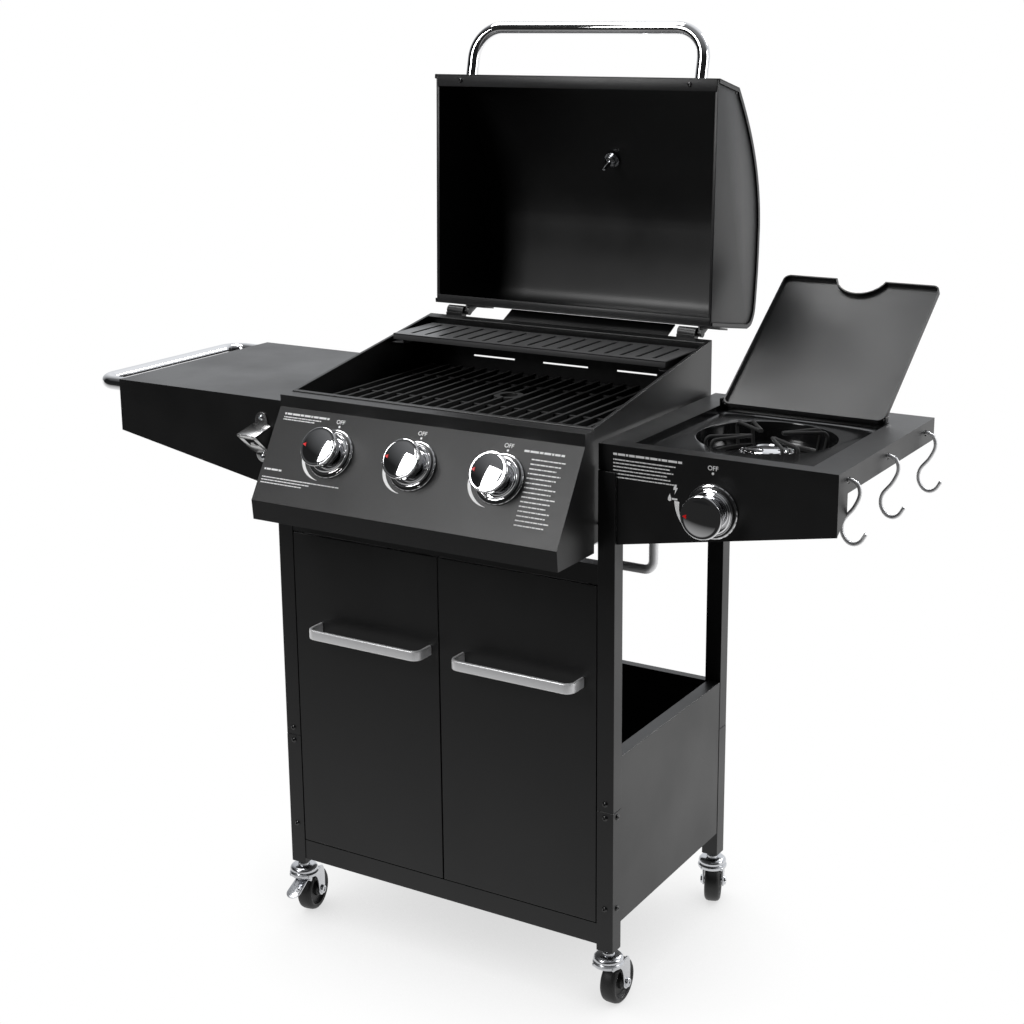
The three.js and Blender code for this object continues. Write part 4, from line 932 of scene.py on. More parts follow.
@dataclass
class Controls:
    """Knobs, the rings round them and the marks printed beside them."""

    cart: Cart
    knob_radius: float = 28.0
    ring_radius: float = 35.4
    mark_radius: float = 43.0
    notes: dict[str, tuple[tuple[float, float, float, float], ...]] = field(
        default_factory=lambda: {
            "1": ((-97, -20, 48.5, 2.9), (-97, -32, 43.6, 1.5), (-97, -42, 40.2, 1.5))
            + ((-103, -72, -33.5, 2.6), (-103, 28, -45, 1.5), (-103, -20, -49, 1.5), (-103, -32, -53, 1.5)),
            "3": ((24, 84, 42.5, 2.9),)
            + tuple((38, 88 - (i * 5) % 13, 32.5 - 6.3 * i, 1.7) for i in range(15)),
            "side": ((-139, -42, 57, 2.9),)
            + tuple((-139, -50 - (i * 9) % 14, 50 - 4.6 * i, 1.5) for i in range(6)),
        }
    )

    def build(self) -> None:
        """Dresses the panel and makes every knob."""
        self.cart.dress("control_panel", PAINT.panel, 0.9, 3, 25)
        self.cart.dress("gas_manifold", PAINT.zinc, 0)
        for name in ("1", "2", "3", "side"):
            joint = self.cart.joint(f"knob_turn_{name}")
            out = Vector(joint["axis"]).normalized()
            up = Vector((1, 0, 0)).cross(out) * -1
            place = axes((1, 0, 0), -up if up.z < 0 else up, out, self.cart.pivot(f"knob_turn_{name}"))
            self.knob(name, place)
            self.ring(name, place)
            self.marks(name, place)
            self.cart.dress(f"valve_stem_{name}", PAINT.zinc, 0)

    def knob(self, name: str, place: Matrix) -> None:
        """A drum with a waist and a wide, slightly domed face, and its pointer.

        Args:
            name: which knob.
            place: the move from the knob's own axes to the cart's.
        """
        r = self.knob_radius
        profile = [(4, 14), (20.5, 14), (22.6, 15), (23.6, 17), (24.4, 21), (25.6, 26), (27, 29)]
        profile += [(r - 0.2, 30.4), (r, 31.6), (r - 0.1, 33), (r - 0.9, 34), (r - 2, 34.3), (r - 2.6, 34.1)]
        dome = 2.4
        for step in range(1, 11):
            x = (r - 3) * (1 - step / 10)
            profile.append((x, 34.2 + dome * (1 - (x / (r - 3)) ** 2)))
        profile = [(0, 22.6), (4, 22.6)] + profile
        body = f"knob_{name}"
        self.cart.add(f"{body}_drum", moved(lathe(profile, 72), place), PAINT.chrome, body, [body], 40)
        arrow = slab([(-23.5, 0), (-18.6, 2.8), (-18.6, -2.8)], 35.2, 35.9)
        self.cart.add(f"{body}_pointer", moved(arrow, place), PAINT.print_red, body)

    def ring(self, name: str, place: Matrix) -> None:
        """The stepped ring that stands on the panel round a knob.

        Args:
            name: which knob.
            place: the move from the knob's own axes to the cart's.
        """
        r = self.ring_radius
        profile = [(8, 0.2), (r, 0.2), (r, 1.6), (r - 0.6, 3), (r - 1.8, 3.9), (r - 3.4, 4.1)]
        profile += [(r - 4, 3.6), (r - 4.6, 3.6), (r - 5.2, 5.2), (r - 6.2, 5.6), (r - 7, 5.5)]
        profile += [(r - 7.6, 7.4), (r - 8.6, 8.3), (r - 10.6, 8.5)]
        profile += [(8, 8.5), (8, 0.2)]
        self.cart.add(f"knob_{name}_ring", moved(lathe(profile, 72), place), PAINT.chrome)

    def marks(self, name: str, place: Matrix) -> None:
        """The off mark, its dot and the crescent that shows how far the flame is turned up.

        Args:
            name: which knob.
            place: the move from the knob's own axes to the cart's.
        """
        r = self.mark_radius + (9 if name == "side" else 0)
        low, high = 0.02, 0.12
        dot = shifted(slab(circle(1.7, 16), low, high), 0, r - 3.4, 0)
        parts = [dot, self.lettering("OFF", 8.2, r + 0.6, low, high), self.crescent(name, low, high)]
        if name == "side":
            bolt = [(-36, 27), (-33, 27), (-33.6, 23), (-31.4, 23), (-36, 14), (-35, 20), (-38, 20)]
            parts.append(shifted(slab(bolt, low, high), -16, 1, 0))
            drop = [(-46.6, 12.6), (-44.2, 6.4), (-44.6, 3.6), (-46.8, 2.6), (-49, 3.8), (-49.2, 6.6)]
            parts.append(shifted(slab(drop, low, high), -12, 3, 0))
            parts.append(shifted(slab([(0, 0), (7.5, 0), (7.5, 2.2), (0, 2.2)], low, high), -55.5, 8, 0))
        else:
            tick = [(-r - 4.6, -0.9), (-r - 1.6, -0.9), (-r - 1.6, 0.9), (-r - 4.6, 0.9)]
            parts.append(slab(tick, low, high))
        for left, right, level, tall in self.notes.get(name, ()):
            parts.extend(self.print_line(left, right, level, tall, low, high))
        self.cart.add(f"knob_{name}_marks", moved(united(parts), place), PAINT.print_white)

    def crescent(self, name: str, low: float, high: float) -> bmesh.types.BMesh:
        """The tapering mark that shows which way the flame grows.

        Args:
            name: which knob.
            low: height of its underside over the panel.
            high: height of its top.

        Returns:
            The crescent's solid.
        """
        side = name == "side"
        inner, start, turn = (45.5, 172, 42) if side else (40.5, 179, 76)
        steps = 24
        near, far = [], []
        for step in range(steps + 1):
            t = step / steps
            a = math.radians(start + turn * t)
            base = inner + (0.0 if side else 2.6 * (1 - t))
            wide = 7.0 * (1 - t) + 0.2 if side else 4.4 * math.sin(math.pi * (0.1 + 0.9 * t) ** 0.8) + 0.2
            near.append((base * math.cos(a), base * math.sin(a)))
            far.append(((base + wide) * math.cos(a), (base + wide) * math.sin(a)))
        return slab([*near, *reversed(far)], low, high)

    def print_line(
        self, left: float, right: float, level: float, tall: float, low: float, high: float
    ) -> list[bmesh.types.BMesh]:
        """A printed line drawn as plain dashes of uneven length, with no letters.

        Args:
            left: where it starts, from the knob's axis.
            right: where it ends.
            level: its middle, up from the knob's axis.
            tall: height of a dash.
            low: height of its underside over the panel.
            high: height of its top.

        Returns:
            The dashes' solids.
        """
        dashes, x, count = [], left, 0
        while x < right - 1:
            wide = tall * (1.1 + (count * 7 + int(abs(level) * 3)) % 5 * 0.8)
            end = min(x + wide, right)
            under, over = level - tall / 2, level + tall / 2
            outline = [(x, under), (end, under), (end, over), (x, over)]
            dashes.append(slab(outline, low, high))
            x, count = end + tall * 0.45, count + 1
        return dashes

    def lettering(self, words: str, size: float, level: float, low: float, high: float) -> bmesh.types.BMesh:
        """A short printed word, centred over a knob.

        Args:
            words: what it says.
            size: letter size.
            level: how far it stands over the knob's axis.
            low: height of its underside over the panel.
            high: height of its top.

        Returns:
            The letters' solid.
        """
        curve = bpy.data.curves.new("letters", "FONT")
        curve.body = words
        curve.size = size
        curve.align_x = "CENTER"
        curve.offset = 0.09
        curve.extrude = (high - low) / 2
        holder = bpy.data.objects.new("letters", curve)
        bpy.context.scene.collection.objects.link(holder)
        bpy.context.view_layer.update()
        solved = holder.evaluated_get(bpy.context.evaluated_depsgraph_get())
        mesh = bpy.data.meshes.new_from_object(solved)
        bm = bmesh.new()
        bm.from_mesh(mesh)
        bmesh.ops.remove_doubles(bm, verts=bm.verts, dist=0.001)
        bmesh.ops.recalc_face_normals(bm, faces=bm.faces)
        bpy.data.objects.remove(holder)
        bpy.data.curves.remove(curve)
        bpy.data.meshes.remove(mesh)
        return shifted(bm, 0, level, (low + high) / 2)


@dataclass
class Cooking:
    """Firebox, grate, rack, burners and what is under them."""

    cart: Cart
    slots: int = 17
    rack_sheet: float = 1.6
    rack_margin: float = 12.0
    slot_radius: float = 3.1
    slot_ends: Pair = (12.0, 10.0)

    def build(self) -> None:
        """Dresses the firebox and makes the rack."""
        self.cart.dress("firebox", PAINT.cabinet, 0.6, 2)
        self.cart.dress("cooking_grate", PAINT.cast, 0.9, 2)
        for i in (1, 2, 3):
            self.cart.dress(f"burner_tube_{i}", PAINT.steel, 0)
            self.cart.dress(f"flame_tamer_{i}", PAINT.enamel, 0.5)
        self.cart.dress("grease_tray", PAINT.steel, 0.4)
        self.rack()

    def rack(self) -> None:
        """Pressed rack with a folded lip on each long edge and round-ended slots."""
        low, high = self.cart.bounds("warming_rack")
        t = self.rack_sheet
        pitch = (high.x - low.x - 2 * self.rack_margin) / self.slots
        plate = self.slotted(low, high, t, pitch)
        lips = []
        for y0, y1 in ((low.y, low.y + t), (high.y - t, high.y)):
            lips.append(soften(block((low.x, high.x), (y0, y1), (low.z, high.z)), 0.5, 2))
        body = "warming_rack"
        self.cart.add(f"{body}_plate", united([plate, *lips]), PAINT.rack, body, [body])

    def slotted(self, low: Vector, high: Vector, thick: float, pitch: float) -> bmesh.types.BMesh:
        """The rack's top with its slots cut through.

        Args:
            low: lowest corner of the rack.
            high: highest corner of the rack.
            thick: sheet thickness.
            pitch: distance between slots.

        Returns:
            The plate's solid.
        """
        bm = bmesh.new()
        y0, y1 = low.y, high.y
        s0, s1, r = y0 + self.slot_ends[0], y1 - self.slot_ends[1], self.slot_radius
        edge_x = low.x
        for i in range(self.slots):
            centre = low.x + self.rack_margin + pitch * (i + 0.5)
            right = centre + pitch / 2 if i < self.slots - 1 else high.x
            left = edge_x
            ring = rounded_box((centre - r, centre + r), (s0, s1), r - 0.05, 4)
            self.framed(bm, (left, right), (y0, y1), ring, high.z)
            edge_x = right
        bmesh.ops.remove_doubles(bm, verts=bm.verts, dist=0.01)
        top = bmesh.ops.extrude_face_region(bm, geom=list(bm.faces))
        verts = [v for v in top["geom"] if isinstance(v, bmesh.types.BMVert)]
        bmesh.ops.translate(bm, verts=verts, vec=(0, 0, -thick))
        bmesh.ops.recalc_face_normals(bm, faces=bm.faces)
        return bm

    def framed(self, bm: bmesh.types.BMesh, x: Pair, y: Pair, ring: Sequence[Pair], z: float) -> None:
        """Fills the plate between one slot and the rectangle round it.

        Args:
            bm: mesh that takes the faces.
            x: the rectangle's two X values.
            y: its two Y values.
            ring: the slot's corners, anticlockwise from its lower right one.
            z: level of the faces.
        """
        hole = [bm.verts.new((px, py, z)) for px, py in ring]
        quarter = len(ring) // 4
        rectangle = ((x[1], y[0]), (x[1], y[1]), (x[0], y[1]), (x[0], y[0]))
        corners = [bm.verts.new((px, py, z)) for px, py in rectangle]
        for k, corner in enumerate(corners):
            arc = hole[k * quarter : (k + 1) * quarter]
            bm.faces.new([corner, *reversed(arc)])
            following = hole[((k + 1) * quarter) % len(hole)]
            bm.faces.new([corner, corners[(k + 1) % 4], following, arc[-1]])


@dataclass
class Hood:
    """The big lid: skin, cheeks, handle, thermometer, screws and hinges."""

    cart: Cart
    thick: float = 2.0
    cheek_in: float = 2.4
    rim: float = 18.0
    back_lean: float = 19.0
    back_height: float = 122.0
    crest: float = 156.0
    face: float = 66.0
    face_lean: float = 13.0
    length: float = 346.6
    skin_half: float = 238.3
    shut_slope: Pair = (349.0, 59.2)
    hinge_to_edge: Triple = (0, -11.7, -4.2)
    hinge_x: float = 199.0
    handle_half: float = 192.7
    handle_reach: float = 77.0
    handle_bend: float = 46.0
    handle_radius: float = 9.3
    gauge_at: Pair = (222.0, 133.0)
    gauge_slope: Pair = (48.0, 25.0)

    def build(self) -> None:
        """Works out the lid's own axes and makes its pieces."""
        joint = self.cart.joint("lid_hinge")
        pivot = self.cart.pivot("lid_hinge")
        rim_angle = math.atan2(self.shut_slope[1], self.shut_slope[0])
        c, s = math.cos(rim_angle), math.sin(rim_angle)
        shut = axes((0, -c, -s), (0, -s, c), (-1, 0, 0), self.hinge_to_edge)
        turn = Matrix.Rotation(-math.radians(joint["range_deg"][1]), 4, "X")
        self.place = Matrix.Translation(pivot) @ turn @ shut
        self.half = min(self.cart.bounds("lid_skin")[1].x, self.skin_half)
        self.skin()
        for side, sign in (("left", 1), ("right", -1)):
            self.cheek(side, sign)
        self.handle()
        self.thermometer()
        self.small_fixings()
        for side in ("left", "right"):
            self.cart.dress(f"hinge_bracket_{side}", PAINT.cabinet, 0.5)

    def profile(self, inset: float, steps: int = 26) -> list[Pair]:
        """The lid's outline from its back edge over the crest to its front edge.

        Args:
            inset: how far inside the outer surface it runs.
            steps: stretches along the long front curve.

        Returns:
            (u, v) pairs: u along the rim from the back, v off the rim.
        """
        corner = (-self.back_lean, self.back_height)
        bend = [(*corner, 0), (-14, self.back_height + 15, 0), (0, self.crest - 9, 0)]
        bend += [(20, self.crest - 5, 0), (70, self.crest - 1, 0), (128, self.crest, 0)]
        points = [(-2.0, 0.0), *[(p.x, p.y) for p in smooth_route(bend, 5)]]
        top = (self.length - self.face_lean, self.face)
        for i in range(1, steps):
            t = i / steps
            v = self.crest + (top[1] - self.crest) * (0.25 * t + 0.75 * t * t) + math.sin(math.pi * t) * 4.55
            points.append((128 + (top[0] - 128) * t, v))
        points += [top, (self.length, 0.0)]
        if not inset:
            return points
        result = []
        for i, (u, v) in enumerate(points):
            if i in (0, len(points) - 1):
                result.append((u + (inset if i == 0 else -inset), v))
                continue
            along = Vector(points[i + 1]) - Vector(points[i - 1])
            result.append((u + inset * along.y / along.length, v - inset * along.x / along.length))
        return result

    def skin(self) -> None:
        """One bent sheet, with narrow lips folded over the cheeks and a flange along its front edge."""
        outer, inner = self.profile(0), self.profile(self.thick)
        shell = slab([*outer, *reversed(inner)], -self.half, self.half)
        parts = [soften(shell, 0.45, 2, 40)]
        for sign in (-1, 1):
            lip = self.profile(self.thick + 0.02)
            deep = self.profile(self.thick + 4.5)
            x = sorted((sign * self.half, sign * (self.half - 1.0)))
            parts.append(slab([*lip, *reversed(deep)], *x))
        band_half = self.half - self.cheek_in - self.thick - 0.4
        band_from, band_to = self.length - self.rim, self.length - 1.2
        band = [(band_from, 0), (band_to, 0), (band_to, 1.6), (band_from, 1.6)]
        parts.append(soften(slab(band, -band_half, band_half), 0.5, 2))
        back = [(-0.5, 0), (11, 0), (11, 1.6), (-0.5, 1.6)]
        parts.append(soften(slab(back, -band_half, band_half), 0.5, 2))
        parts += [self.leaf(-self.hinge_x), self.leaf(self.hinge_x)]
        self.cart.add("hood_skin", moved(united(parts), self.place), PAINT.hood, "lid", ["lid_skin"], 30)
        lining_outer, lining_inner = self.profile(self.thick + 0.05), self.profile(self.thick + 0.4)
        outline = [*lining_outer[1:-1], *reversed(lining_inner[1:-1])]
        wide = self.half - self.cheek_in - self.thick - 0.6
        lining = moved(slab(outline, -wide, wide), self.place)
        self.cart.add("hood_lining", lining, PAINT.inside, "lid", (), 30)

    def leaf(self, x: float) -> bmesh.types.BMesh:
        """A hinge leaf: a foot on the lid's back and an ear round the hinge bolt.

        Args:
            x: middle of the hinge, in the cart's X.

        Returns:
            The leaf in the lid's own axes.
        """
        ear = -(x + 15.5)
        foot = [(-2.3, 3), (-6.3, 30), (-9, 30), (-5, 3)]
        web = [(-2, 2), (-6.5, 30), (-9.5, 30), (-19, 10), (-17, 0)]
        return united([
            soften(slab(foot, ear - 34, ear), 0.5, 2),
            soften(slab(web, ear - 3, ear), 0.4, 2),
        ])

    def cheek(self, side: str, sign: int) -> None:
        """A flat cheek with a folded edge round the opening.

        Args:
            side: left or right.
            sign: which way local Z runs to it.
        """
        outer = self.half - self.cheek_in
        outline = [(u, max(v, 0.4)) for u, v in self.profile(self.thick + 0.3)]
        x = sorted((sign * outer, sign * (outer - self.thick)))
        plate = soften(slab(outline, *x), 0.4, 2, 40)
        lip_x = sorted((sign * (outer - 0.4), sign * (outer - 5)))
        lip_to = self.length - self.rim - 0.5
        lip = [(6, 0.4), (lip_to, 0.4), (lip_to, 2), (6, 2)]
        bm = moved(united([plate, soften(slab(lip, *lip_x), 0.5, 2)]), self.place)
        self.cart.add(f"hood_cheek_{side}", bm, PAINT.hood, "lid", [f"lid_cheek_{side}"], 30)
        face = [(u, v) for u, v in self.profile(self.thick + 0.6) if v > 2.4]
        lining = [(4, 2.6), *face, (self.length - 6, 2.6)]
        x = sorted((sign * (outer - self.thick - 0.1), sign * (outer - self.thick - 0.4)))
        sheet = moved(slab(lining, *x), self.place)
        self.cart.add(f"hood_cheek_{side}_lining", sheet, PAINT.inside, "lid")

    def handle(self) -> None:
        """Bent chromed tube across the front face, with a washer at each foot."""
        lean = math.atan2(self.face_lean, self.face)
        foot = Vector((self.length - self.face_lean / 2, self.face / 2, 0))
        out = Vector((math.cos(lean), math.sin(lean), 0))
        along = (-math.sin(lean), math.cos(lean), 0)
        half, off, sunk = self.handle_half, self.handle_reach, 0.4
        corners = []
        for x, reach in ((-half, sunk), (-half, off), (half, off), (half, sunk)):
            point = foot + out * reach
            corners.append((point.x, point.y, x))
        bm = sweep(rounded_route(corners, self.handle_bend, 14), circle(self.handle_radius, 32))
        ring = [(9.6, 0.3), (13.5, 0.3), (13.5, 1.6), (12.6, 2.4), (9.6, 2.6), (9.6, 0.3)]
        feet = []
        for x in (-half, half):
            stand = axes(along, (0, 0, 1), tuple(out), (foot.x, foot.y, x))
            feet.append(moved(lathe(ring, 40), stand))
        self.cart.add("hood_handle_tube", moved(bm, self.place), PAINT.chrome, "lid", ["lid_handle"])
        self.cart.add("hood_handle_washers", moved(united(feet), self.place), PAINT.enamel, "lid")

    def thermometer(self) -> None:
        """Round gauge on the skin with a white dial, its marks and needle, and its probe and nut inside."""
        lean = math.atan2(self.gauge_slope[1], self.gauge_slope[0])
        out = (math.sin(lean), math.cos(lean), 0)
        along = (math.cos(lean), -math.sin(lean), 0)
        stand = self.place @ axes(along, (0, 0, -1), out, (*self.gauge_at, 0))
        profile = [(0, 21), (22, 21), (22.6, 22.6), (24.4, 23.6), (26.4, 23), (27, 21)]
        profile += [(27, 14), (24, 11), (20, 9), (0, 9)]
        self.cart.add("gauge_case", moved(lathe(profile, 56), stand), PAINT.chrome, "lid", ["thermometer"])
        dial = lathe([(0, 21.1), (21.8, 21.1), (21.8, 21.5), (0, 21.5)], 48)
        self.cart.add("gauge_dial", moved(dial, stand), PAINT.print_white, "lid")
        marks = []
        for step in range(11):
            tick = slab([(15.5, -0.5), (19.5, -0.5), (19.5, 0.5), (15.5, 0.5)], 21.5, 21.7)
            marks.append(moved(tick, Matrix.Rotation(math.radians(-60 + 30 * step), 4, "Z")))
        needle = slab([(-4, -1.2), (14, -0.3), (14, 0.3), (-4, 1.2)], 21.6, 21.9)
        marks.append(moved(needle, Matrix.Rotation(math.radians(-60), 4, "Z")))
        self.cart.add("gauge_marks", moved(united(marks), stand), PAINT.shadow, "lid")
        inside = [(0, -32), (2.2, -32), (3, -30), (3, -12), (6, -12), (9, -10), (9, -4)]
        inside += [(12, -4), (12, -2.4), (0, -2.4)]
        self.cart.add("gauge_probe", moved(lathe(inside, 28), stand), PAINT.zinc, "lid")

    def small_fixings(self) -> None:
        """Screws through the front flange and a rivet on each cheek."""
        heads = []
        for x in (-191.5, 191.5):
            face = axes((1, 0, 0), (0, 0, 1), (0, -1, 0), (self.length - 9, -0.1, x))
            heads.append(moved(Screw(3.6, 2.2).solid(), face))
        cheek = self.half - self.cheek_in
        for sign in (-1, 1):
            side = axes((1, 0, 0), (0, sign, 0), (0, 0, sign), (self.length - 20, 60, sign * cheek))
            heads.append(moved(Screw(2.6, 1.4).solid(), side))
        self.cart.add("hood_screws", moved(united(heads), self.place), PAINT.enamel, "lid")


@dataclass
class SideShelves:
    """Both shelves, the towel rail, bottle opener and hooks."""

    cart: Cart
    rail_bend: float = 30.0
    opener_sheet: float = 1.8
    pipe_radius: float = 6.25
    pipe_ends: Pair = (228.0, 290.0)
    pipe_y: float = 80.0
    wire: float = 2.5

    def build(self) -> None:
        """Dresses the shelves and makes what is fixed to them."""
        self.cart.dress("shelf_left", PAINT.shelf, 1.2, 3)
        self.cart.dress("shelf_right", PAINT.shelf, 1.2, 3)
        self.towel_rail()
        self.opener()
        self.feed_pipe()
        for i in (1, 2, 3):
            self.hook(i)

    def towel_rail(self) -> None:
        """Chromed tube along the left shelf's end."""
        low, high = self.cart.bounds("towel_rail")
        r = (high.z - low.z) / 2
        z = (high.z + low.z) / 2
        out, front, rear = low.x + r, low.y + r, high.y - r
        corners = [(high.x, front, z), (out, front, z), (out, rear, z), (high.x, rear, z)]
        bm = sweep(rounded_route(corners, self.rail_bend, 14), circle(r, 32))
        self.cart.add("towel_rail_tube", bm, PAINT.chrome, "cart", ["towel_rail"])

    def opener(self) -> None:
        """Folded bottle opener with a slot, a tooth, and a rivet in each rounded lug."""
        low, high = self.cart.bounds("bottle_opener")
        middle, half = (low.x + high.x) / 2, (high.x - low.x) / 2
        t, back, top, bottom = self.opener_sheet, high.y, high.z, low.z
        ledge, lip = top - 22, top - 30
        lug = []
        for step in range(13):
            a = math.pi * step / 12
            lug.append((middle + half * 0.66 * math.cos(a), ledge + 4 + 16 * math.sin(a) ** 0.8))
        lug += [(middle - half, ledge), (middle + half, ledge)]
        parts = [soften(across(Axis.Y, lug, back - t, back), 0.4, 2)]
        shelf = [(back, ledge + 1), (back, ledge - 1), (low.y + 2, lip - 1), (low.y + 1, lip + 1)]
        parts.append(soften(across(Axis.X, shelf, middle - half, middle + half), 0.3, 2))
        slope = Vector((back - t - low.y, bottom + 14 - lip))
        length = slope.length
        lean = math.atan2(slope.y, slope.x)
        rails = [((-half, -half + 8), (0, length)), ((half - 8, half), (0, length))]
        rails += [((-half, half), (0, 8)), ((-half, half), (length * 0.55, length))]
        down, off = (0, math.cos(lean), math.sin(lean)), (0, -math.sin(lean), math.cos(lean))
        plane = axes((1, 0, 0), down, off, (middle, low.y, lip))
        for x, y in rails:
            parts.append(moved(soften(block(x, y, (-t / 2, t / 2)), 0.3, 2), plane))
        root, tip = length * 0.57, length * 0.42
        tooth = slab([(-7, root), (-4, tip), (2, tip), (5, root)], -t / 2, t / 2)
        parts.append(moved(tooth, plane))
        lower = []
        for step in range(13):
            a = math.pi + math.pi * step / 12
            lower.append((middle + half * 0.7 * math.cos(a), bottom + 13 + 13 * math.sin(a)))
        parts.append(soften(across(Axis.Y, lower, back - t, back), 0.4, 2))
        self.cart.add("bottle_opener_plate", united(parts), PAINT.steel, "cart", ["bottle_opener"])
        rivets = []
        for z in (top - 10, bottom + 8):
            face = axes((1, 0, 0), (0, 0, 1), (0, -1, 0), (middle, back - t, z))
            rivets.append(moved(Screw(4.4, 2.2).solid(), face))
        self.cart.add("bottle_opener_rivets", united(rivets), PAINT.zinc)

    def feed_pipe(self) -> None:
        """The bright stretch of the side burner's gas pipe that shows below the right shelf."""
        drop = self.cart.bounds("gas_manifold")[0].z + 6
        (start, out), y = self.pipe_ends, self.pipe_y
        corners = [(start, y, drop), (out, y, drop), (out, y, drop + 100)]
        pipe = sweep(rounded_route(corners, 14, 12), circle(self.pipe_radius, 28))
        self.cart.add("feed_pipe", pipe, PAINT.satin)

    def hook(self, number: int) -> None:
        """A wire hook hung through the right shelf's end.

        Args:
            number: which hook, from the front.
        """
        pivot = self.cart.pivot(f"hook_swing_{number}")
        points = [(-10, -15), (-10, -5), (-5, 0), (0, 0), (5, 0), (13, -5), (15, -18), (8, -34)]
        points += [(-4, -50), (-6, -64), (0, -75), (9, -79), (18, -75), (25, -64)]
        route = smooth_route([(pivot.x + x, pivot.y, pivot.z + z) for x, z in points], 6)
        body = f"utensil_hook_{number}"
        wire = sweep(route, circle(self.wire, 16), 0.5)
        self.cart.add(f"{body}_wire", wire, PAINT.satin, body, [body], 60)


@dataclass
class SideBurner:
    """Tray, well, burner head and pan support under the small lid."""

    cart: Cart
    well_radius: float = 92.0
    tray_depth: float = 264.2
    tray_levels: Pair = (796.8, 803.4)
    tray_sheet: float = 1.4
    flame_ports: int = 28
    wire: float = 2.4

    def build(self) -> None:
        """Makes the burner's pieces and dresses its lid."""
        low, high = self.cart.bounds("side_burner_bowl")
        ring = self.cart.bounds("pan_support")
        self.centre = ((ring[0].x + ring[1].x) / 2, (ring[0].y + ring[1].y) / 2)
        self.floor = ring[0].z - 0.4
        self.tray(low, high)
        self.head()
        self.support()
        self.cart.dress("side_lid", PAINT.panel, 0.8, 3)

    def tray(self, low: Vector, high: Vector) -> None:
        """Shallow square tray with a rolled edge into a round well.

        Args:
            low: lowest corner of the tray's node.
            high: highest corner of the tray's node.
        """
        x0, x1 = low.x, high.x
        y0, y1 = high.y - self.tray_depth, high.y
        floor, top = self.tray_levels
        r = self.well_radius
        cx, cy = self.centre
        bm = bmesh.new()
        steps = 64
        ring, corners = [], [(x1, y0), (x1, y1), (x0, y1), (x0, y0)]
        for i in range(steps):
            a = 2 * math.pi * i / steps - math.pi / 4
            ring.append(bm.verts.new((cx + (r + 2) * math.cos(a), cy + (r + 2) * math.sin(a), floor)))
        outer = [bm.verts.new((*c, floor)) for c in corners]
        quarter, half = steps // 4, steps // 8
        for k, corner in enumerate(outer):
            arc = [ring[(k * quarter + j) % steps] for j in range(-half, half + 1)]
            bm.faces.new([corner, *reversed(arc)])
            bm.faces.new([corner, outer[(k + 1) % 4], arc[-1]])
        rim = [e for e in bm.edges if e.is_boundary and all(v in outer for v in e.verts)]
        made = bmesh.ops.extrude_edge_only(bm, edges=rim)
        up = [g for g in made["geom"] if isinstance(g, bmesh.types.BMVert)]
        bmesh.ops.translate(bm, verts=up, vec=(0, 0, top - floor))
        edges = [e for e in bm.edges if e.is_boundary and all(v in ring for v in e.verts)]
        well = self.floor
        levels = [(r + 0.6, floor - 0.5), (r, floor - 2), (r, well + 9), (r - 3, well + 3), (r - 9, well)]
        levels += [(30, well), (28, well - 1), (23, well - 1)]
        previous = (r + 2, floor)
        for radius, level in levels:
            verts, edges = grown_edges(bm, edges)
            shrink = radius / previous[0]
            space = Matrix.Translation((-cx, -cy, 0))
            bmesh.ops.scale(bm, vec=(shrink, shrink, 1), space=space, verts=verts)
            bmesh.ops.translate(bm, verts=verts, vec=(0, 0, level - previous[1]))
            previous = (radius, level)
        bmesh.ops.recalc_face_normals(bm, faces=bm.faces)
        if sum(f.normal.z for f in bm.faces) < 0:
            bmesh.ops.reverse_faces(bm, faces=bm.faces)
        bmesh.ops.solidify(bm, geom=bm.faces, thickness=self.tray_sheet)
        bmesh.ops.recalc_face_normals(bm, faces=bm.faces)
        ears = []
        inner = (high.x - low.x) / 2 - 2.2
        for s in (-1, 1):
            x = sorted((cx + s * inner, cx + s * (inner + 2)))
            ears.append(soften(block(x, (y1 - 14, y1), (floor, high.z)), 0.5, 2))
        whole = united([bm, *ears])
        self.cart.add("side_burner_tray", whole, PAINT.tray, "cart", ["side_burner_bowl"], 30)

    def head(self) -> None:
        """Cast head with a ring of flame ports and a polished cap, on its throat."""
        z = self.floor - 0.6
        body = [(0, z - 22), (18, z - 22), (19, z + 2), (33, z + 5), (34.5, z + 7), (34.5, z + 12)]
        body += [(33, z + 13.6), (28, z + 14), (0, z + 14)]
        cx, cy = self.centre
        teeth = []
        for i in range(self.flame_ports):
            tooth = soften(block((31.5, 36), (-1.6, 1.6), (z + 8.5, z + 14.6)), 0.4, 2)
            teeth.append(moved(tooth, Matrix.Rotation(2 * math.pi * i / self.flame_ports, 4, "Z")))
        self.cart.add("side_burner_ports", shifted(united(teeth), cx, cy, 0), PAINT.chrome)
        bm = lathe(body, 56)
        throat = sweep([Vector((0, -2, z - 16)), Vector((0, -54, z - 16))], circle(8, 20))
        bm = shifted(united([bm, throat]), cx, cy, 0)
        self.cart.add("side_burner_casting", bm, PAINT.enamel, "cart", ["side_burner_head"])
        cap = [(0, z + 14.2), (27, z + 14.2), (29, z + 15.4), (29, z + 17), (26.5, z + 18.6)]
        cap += [(14, z + 20), (13, z + 19), (0, z + 19)]
        self.cart.add("side_burner_cap", shifted(lathe(cap, 56), cx, cy, 0), PAINT.chrome)

